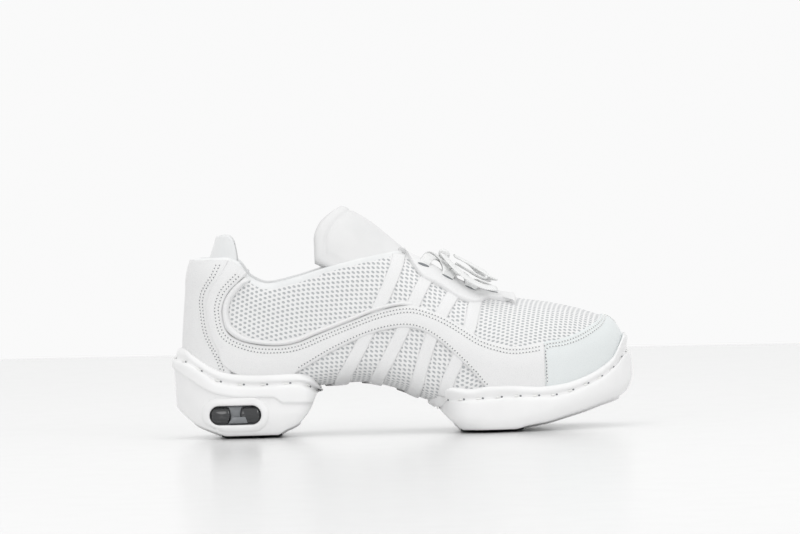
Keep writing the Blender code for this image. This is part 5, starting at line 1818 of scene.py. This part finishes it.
@dataclass
class Lacing:
    """The flat lace: crossings over the tongue, painted shade at the eyelets, and the bow's knot, loops and ends."""

    width: float = 0.0062
    thick: float = 0.0013
    cord: float = 0.0042
    rows: tuple[float, ...] = (0.696, 0.648, 0.598, 0.548)
    inset: float = 0.0058
    rise: float = 0.0040
    dip: float = 0.0008
    over: float = 0.0016
    sunk: float = 0.0012
    sink_share: float = 0.10
    # The painted shade ellipse under the lace at each eyelet: its half sizes, then its lift over the form.
    slot: tuple[float, float] = (0.0037, 0.0012)
    shade_lift: float = 0.00285
    knot_radius: float = 0.0036

    def crown(self, x: np.ndarray, across: np.ndarray) -> tuple[np.ndarray, np.ndarray]:
        """Points on the form's top face by plan position, with their normals.

        Args:
            x: Stations.
            across: Distances from the middle line.

        Returns:
            The points and their normals.
        """

        def at(x: np.ndarray, across: np.ndarray) -> np.ndarray:
            """The face's points alone.

            Args:
                x: Stations.
                across: Distances from the middle line.

            Returns:
                The points.
            """
            _, widest, top = LAST.levels(x)
            power = LAST.column("crown", x)
            reach = np.minimum(np.abs(across) / LAST.half_width(x, np.where(across < 0, -1, 1)), 0.98)
            z = widest + (top - widest) * (1 - reach**power) ** (1 / power)
            return np.stack([x, LAST.middle(x) + across, z], axis=-1)

        step = 5e-4
        place = at(x, across)
        return place, unit(np.cross(at(x + step, across) - place, at(x, across + step) - place))

    def eyelet(self, share: float, side: int) -> np.ndarray:
        """An eyelet's place seen from above, as (x, y from the middle line)."""
        return np.array([share * LENGTH, side * (float(LAST.throat_half(np.asarray(share))) + self.inset)])

    def ribbon(self, work: Build, points: np.ndarray, normals: np.ndarray) -> None:
        """A flat woven band along points, its face to the normals.

        Args:
            work: The piece that it joins.
            points: Its middle line.
            normals: Their normals.
        """
        run = unit(np.gradient(points, axis=0))
        across = unit(np.cross(run, normals))
        up = unit(np.cross(across, run))
        turn = np.linspace(0, 2 * np.pi, 16, endpoint=False)
        ca, sa = np.cos(turn), np.sin(turn)
        wide = np.sign(ca) * np.abs(ca) ** 0.5 * self.width / 2
        high = np.sign(sa) * np.abs(sa) ** 0.7 * self.thick / 2
        rings = points[:, None] + across[:, None] * wide[None, :, None] + up[:, None] * high[None, :, None]
        uv = np.stack(np.broadcast_arrays(run_along(points)[:, None], wide[None, :]), axis=-1) / MM
        work.grid(rings, uv, closed=True)
        work.ends(rings, points, uv)

    def crossings(self) -> None:
        """The bars and crossings over the tongue, each end sunk in its eyelet, and a dark ellipse of painted shade
        under the lace at each eyelet.
        """
        work, holes = Build(), Build()
        spans = [((self.rows[0], -1), (self.rows[0], 1), 0.0)]
        for one, two in zip(self.rows, self.rows[1:]):
            spans += [((one, -1), (two, 1), self.over), ((one, 1), (two, -1), 0.0)]
        t = np.linspace(0, 1, 34)
        sink = ease(np.minimum(t, 1 - t) / self.sink_share)
        for first, last, lift in spans:
            near, far = self.eyelet(*first), self.eyelet(*last)
            flat = near + (far - near) * t[:, None]
            place, normal = self.crown(flat[:, 0], flat[:, 1])
            rise = self.sunk + (self.rise - 0.0004) * sink + (lift - self.dip) * np.sin(np.pi * t) ** 2
            self.ribbon(work, place + normal * rise[:, None], normal)
        work.done("lace_crossings", (LACE,), "lace", ("lace_bars",))
        # Painted shade: a dark ellipse under the lace where it enters each eyelet.
        turn = np.linspace(0, 2 * np.pi, 24, endpoint=False)
        for share in self.rows:
            for side in (-1, 1):
                place, normal = self.crown(*self.eyelet(share, side)[:, None])
                along = unit(np.array([1.0, 0.0, 0.0]) - normal[0] * normal[0][0])
                across = np.cross(normal[0], along)
                ring = along * np.cos(turn)[:, None] * self.slot[0] + across * np.sin(turn)[:, None] * self.slot[1]
                base = place[0] + normal[0] * self.shade_lift
                face_up = base + normal[0] * 0.0001
                holes.grid(np.stack([base + ring, face_up + ring * 0.9, face_up + ring * 0.01]), closed=True)
        holes.done("eyelet_lace_shade", (HOLE_SHADE,), "leather")

    def route(self, places: Sequence[Place]) -> tuple[np.ndarray, np.ndarray]:
        """A bow cord's dense points and its normals.

        Args:
            places: The cord's places over the upper.

        Returns:
            The points and their normals.
        """
        table = np.array([(p.share * LENGTH, p.across * BALL_WIDTH, p.rise * self.cord) for p in places])
        place, normal = self.crown(table[:, 0], table[:, 1])
        dense = smooth(np.hstack([place + normal * table[:, 2:], normal]), 8)
        return dense[:, :3], unit(dense[:, 3:])

    def bow(self) -> None:
        """The two loops and two ends, each a length of the flat lace, and the knot."""
        for name, places, far in (
            ("lace_loop_outer", LOOP_OUTER, "object"), ("lace_loop_inner", LOOP_INNER, "object"),
            ("lace_end_outer", END_OUTER, "bare"), ("lace_end_inner", END_INNER, "bare"),
        ):
            points, normals = self.route(places)
            work = Build()
            self.ribbon(work, points, normals)
            item = work.done(name + "_ribbon", (LACE,), "lace", (name,))
        self.knot()

    def knot(self) -> None:
        """The short wrap that holds the bow."""
        points, normals = self.route(LACE_KNOT)
        points = points + normals * -0.0006
        work = Build()
        turn = np.linspace(0, 2 * np.pi, 20, endpoint=False)
        run = unit(np.gradient(points, axis=0))
        across = unit(np.cross(run, normals))
        t = np.linspace(-1, 1, len(points))
        size = self.knot_radius * (1 - 0.22 * np.abs(t) ** 2)
        ring = across[:, None] * np.cos(turn)[None, :, None] + normals[:, None] * (np.sin(turn) * 0.82)[None, :, None]
        rings = points[:, None] + ring * size[:, None, None]
        length = run_along(points)[:, None] - 0.0068
        work.grid(rings, np.stack(np.broadcast_arrays(size[:, None] * turn, length), axis=-1) / MM, closed=True)
        work.ends(rings, points)
        work.done("lace_knot_wrap", (LACE,), "lace", ("lace_knot",))


@dataclass
class Inside:
    """What shows inside and above the collar: tongue, heel tab and footbed."""

    tongue_top: Line = Line(
        ((0.90, 0.318), (0.96, 0.318), (1.09, 0.318), (1.165, 0.328), (1.225, 0.348), (1.275, 0.375), (1.33, 0.410))
    )
    tongue_low: Line = Line(((0.318, 0.955), (0.40, 0.85), (0.50, 0.79), (0.61, 0.70), (0.69, 0.64), (0.765, 0.64)))
    tongue_front: float = 0.755
    tongue_thick: float = 0.0045
    tongue_puff: float = 0.0035
    tongue_round: float = 0.0042
    tongue_seam: float = 0.0075
    tab_top: Line = Line(((0.0, 1.140), (0.55, 1.143), (0.78, 1.137), (0.90, 1.115), (0.97, 1.06), (1.0, 0.99)))
    tab_low: float = 0.905
    tab_reach: float = 0.1500
    tab_thick: float = 0.0025
    tab_round: float = 0.0014
    tab_inset: float = 0.0094
    gap: float = 0.0004

    def tongue(self) -> None:
        """The padded tongue, a closed pillow whose top stands above the throat."""
        rows, wide = 120, 61
        t, s = np.linspace(0, 1, rows)[:, None], np.linspace(-1, 1, wide)[None, :]
        x = (0.33 + 0.42 * t) * LENGTH + 0 * s
        for _ in range(8):
            turn = s * np.abs(LAST.turn_of(x, self.tongue_low.at(x / LENGTH) * HEEL_HEIGHT, 1))
            start = np.full_like(x, 0.34 * LENGTH)
            for _ in range(14):
                level = LAST.point(start, turn)[..., 2] / HEEL_HEIGHT
                start = (start + self.tongue_top.at(level) * LENGTH) / 2
            x = start + (self.tongue_front * LENGTH - start) * t
        flat = LAST.point(x, turn)
        down, over = run_along(flat), run_along(flat, 1)
        near = np.minimum.reduce([down, down[-1:] - down, over, over[:, -1:] - over])
        full = self.tongue_thick + self.tongue_puff * ease((0.030 - down) / 0.02)
        thick = full * domed(near, self.tongue_round)
        seam = 0.0009 * ripple(near, self.tongue_seam, 0.0009) * ease((0.034 - down) / 0.004)
        middle = -WALL - self.gap - full / 2 + 0.0021 * ease((0.045 - down) / 0.03)
        uv = np.stack([down, over], axis=-1) / MM
        work = Build()
        work.grid(face(x, turn, middle + thick / 2 - seam), uv)
        work.grid(face(x, turn, middle - thick / 2), uv, flip=True)
        work.done("tongue_pad", (KNIT,), "mesh", ("tongue",))

    def tab(self) -> None:
        """The pull tab that stands up inside the heel of the collar."""
        s, t = np.linspace(-1, 1, 91)[None, :], np.linspace(0, 1, 44)[:, None]
        x = LAST.first + 0.02 * np.abs(s) ** HEEL_CROWD + 0 * t
        z = (self.tab_low + (self.tab_top.at(np.abs(s)) - self.tab_low) * t) * HEEL_HEIGHT
        for _ in range(12):
            end = np.maximum(self.tab_reach * LENGTH - LAST.lean(x, z), LAST.first + 0.002)
            x = LAST.first + (end - LAST.first) * np.abs(s) ** HEEL_CROWD
        turn = LAST.turn_of(x, z, 1) * np.where(s < 0, -1, 1)
        flat = LAST.point(x, turn)
        up, over = run_along(flat), run_along(flat, 1)
        near = np.minimum.reduce([over, over[:, -1:] - over, up[-1:] - up])
        half = self.tab_thick / 2 * domed(near, self.tab_round)
        middle = -self.tab_inset - self.tab_thick / 2
        uv = np.stack([over, up], axis=-1) / MM
        work = Build()
        front, back = face(x, turn, middle + half), face(x, turn, middle - half)
        work.grid(front, uv)
        work.grid(back, uv, flip=True)
        work.grid(np.stack([front[0], back[0]]), np.stack([uv[0], uv[0]]))
        work.done("heel_tab_padded", (LINING,), "lining", ("heel_tab",))

    def footbed(self) -> None:
        """The footbed with its low rim."""
        x = np.linspace(0.0125, 0.2520, 90)[:, None]
        work = Build()
        for side in Side:
            share = side.value * np.linspace(0.80, 1.0, 16)[None, :]
            turn = LAST.turn(*np.broadcast_arrays(x, share))
            turn[:, -1] = side.value * np.pi
            depth = -WALL - self.gap - 0.003 * ease((np.abs(share) - 0.80) / 0.05)
            top, low = face(x, turn, depth), face(x, turn, -WALL - 0.0003)
            flip = side is Side.OUTER
            work.grid(top, flip=flip)
            work.grid(low, flip=not flip)
            for rim in (np.s_[0], np.s_[-1], np.s_[:, 0]):
                work.grid(np.stack([top[rim], low[rim]]))
        work.done("insole_footbed", (LINING,), "lining", ("insole",))


@dataclass
class Studio:
    """A pale table in front of white, soft light from above, and the camera."""

    lens: float = 310.5
    distance: float = 4.00
    rise_degrees: float = 1.5
    roll_degrees: float = 1.62
    aim: tuple[float, float, float] = (0.0885, -0.035, 0.0974)
    sensor: float = 36.0
    back_edge: float = 1.235
    edge_turn: float = -0.21
    table_size: tuple[float, float, float] = (6.0, 2.8, 0.012)
    table_edge: float = 0.003
    surround: str = "#FCFCFC"
    surround_strength: float = 0.98

    def camera(self) -> None:
        """The camera at the photograph's angle, rolled a little."""
        data = bpy.data.cameras.new("studio_camera")
        data.lens, data.sensor_width = self.lens, self.sensor
        item = bpy.data.objects.new("studio_camera", data)
        bpy.context.scene.collection.objects.link(item)
        rise = math.radians(self.rise_degrees)
        aim = Vector(self.aim)
        item.location = aim + Vector((0, -math.cos(rise), math.sin(rise))) * self.distance
        look = (aim - item.location).to_track_quat("-Z", "Y").to_matrix().to_4x4()
        roll = Matrix.Rotation(-math.radians(self.roll_degrees), 4, "Z")
        item.matrix_world = Matrix.Translation(item.location) @ look @ roll
        data.dof.use_dof = False
        bpy.context.scene.camera = item

    def light(self) -> None:
        """Bright surroundings with a broad soft light above and two in front."""
        world = bpy.data.worlds.new("studio_white")
        world.use_nodes = True
        shade = world.node_tree.nodes["Background"]
        shade.inputs["Color"].default_value = linear(self.surround)
        shade.inputs["Strength"].default_value = self.surround_strength
        bpy.context.scene.world = world
        for name, place, aim, size, power in (
            ("soft_top", (0.05, -0.10, 1.10), (0.08, 0.0, 0.0), 0.9, 1.6),
            ("soft_fill", (-0.75, -1.45, 0.60), (0.02, 0.0, 0.05), 0.8, 3.0),
            ("soft_front", (1.05, -1.15, 0.75), (0.08, 0.0, 0.05), 0.7, 3.4),
        ):
            data = bpy.data.lights.new(name, "AREA")
            data.shape, data.size, data.energy = "DISK", size, power
            item = bpy.data.objects.new(name, data)
            item.location = place
            item.rotation_euler = (Vector(aim) - Vector(place)).to_track_quat("-Z", "Y").to_euler()
            bpy.context.scene.collection.objects.link(item)
        bpy.context.scene.view_settings.view_transform = "Standard"

    def table(self) -> None:
        """The table, a sheet with a bevelled back edge."""
        for item in bpy.context.selected_objects:
            item.select_set(False)
        half, turn = self.table_size[1] / 2, self.edge_turn
        centre = (0.0865 + math.sin(turn) * half, self.back_edge - math.cos(turn) * half, -self.table_size[2] / 2)
        bpy.ops.mesh.primitive_cube_add(size=1, location=centre, rotation=(0, 0, turn))
        item = bpy.context.object
        item.name = "studio_table"
        item.scale = self.table_size
        bpy.ops.object.transform_apply(location=True, rotation=True, scale=True)
        bevel = item.modifiers.new("edge", "BEVEL")
        bevel.width, bevel.segments = self.table_edge, 3
        bpy.ops.object.modifier_apply(modifier="edge")
        item.data.materials.append(material_of(TABLE))
        item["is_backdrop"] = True


def main() -> None:
    """Builds the shoe piece by piece and lights it."""
    logging.basicConfig(level=logging.INFO, format="%(message)s")
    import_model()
    solid_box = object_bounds()
    studio = Studio()
    studio.camera()
    lacing = Lacing()
    lacing.bow()
    Upper().build()
    seams = Stitcher()
    Overlays(seams).build()
    window = Window()
    heel = SoleUnit(
        "heel_unit", "heel_sole", HEEL_RINGS,
        {"lip": Line(HEEL_LIP), "groove": Line(HEEL_GROOVE), "ridge": Line(HEEL_RIDGE), "base": Line(HEEL_BASE)},
        0.0, 0.016, window=window,
    )
    fore = SoleUnit(
        "forefoot_unit", "forefoot_sole", FOREFOOT_RINGS,
        {"lip": Line(FOREFOOT_LIP), "groove": Line(FOREFOOT_GROOVE), "base": Line(FOREFOOT_BASE)},
        0.030, 0.0, dash_pitch=0.011,
    )
    dashes = Stitcher(radius=0.0005)
    heel_rows = heel.build()
    heel.dash(heel_rows, dashes)
    fore.dash(fore.build(), dashes)
    dashes.threads.done("sole_thread", (THREAD,), "sole")
    dashes.holes.done("sole_needle_hole_shade", (HOLE_SHADE,), "sole", outward=False)
    window.build(heel_rows)
    seams.threads.done("seam_thread", (THREAD,), "leather")
    seams.holes.done("needle_hole_shade", (HOLE_SHADE,), "leather", outward=False)
    lacing.crossings()
    inside = Inside()
    inside.tongue()
    inside.tab()
    inside.footbed()
    studio.light()
    studio.table()
    {"solids": plain(solid_box), "scene": plain(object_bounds())}


def plain(value: object) -> object:
    """A box as plain lists of numbers.

    Args:
        value: A number, or numbers in any nesting.

    Returns:
        The same as floats and lists.
    """
    if hasattr(value, "__len__"):
        return [plain(v) for v in value]
    return float(value)


if __name__ == "__main__":
    main()
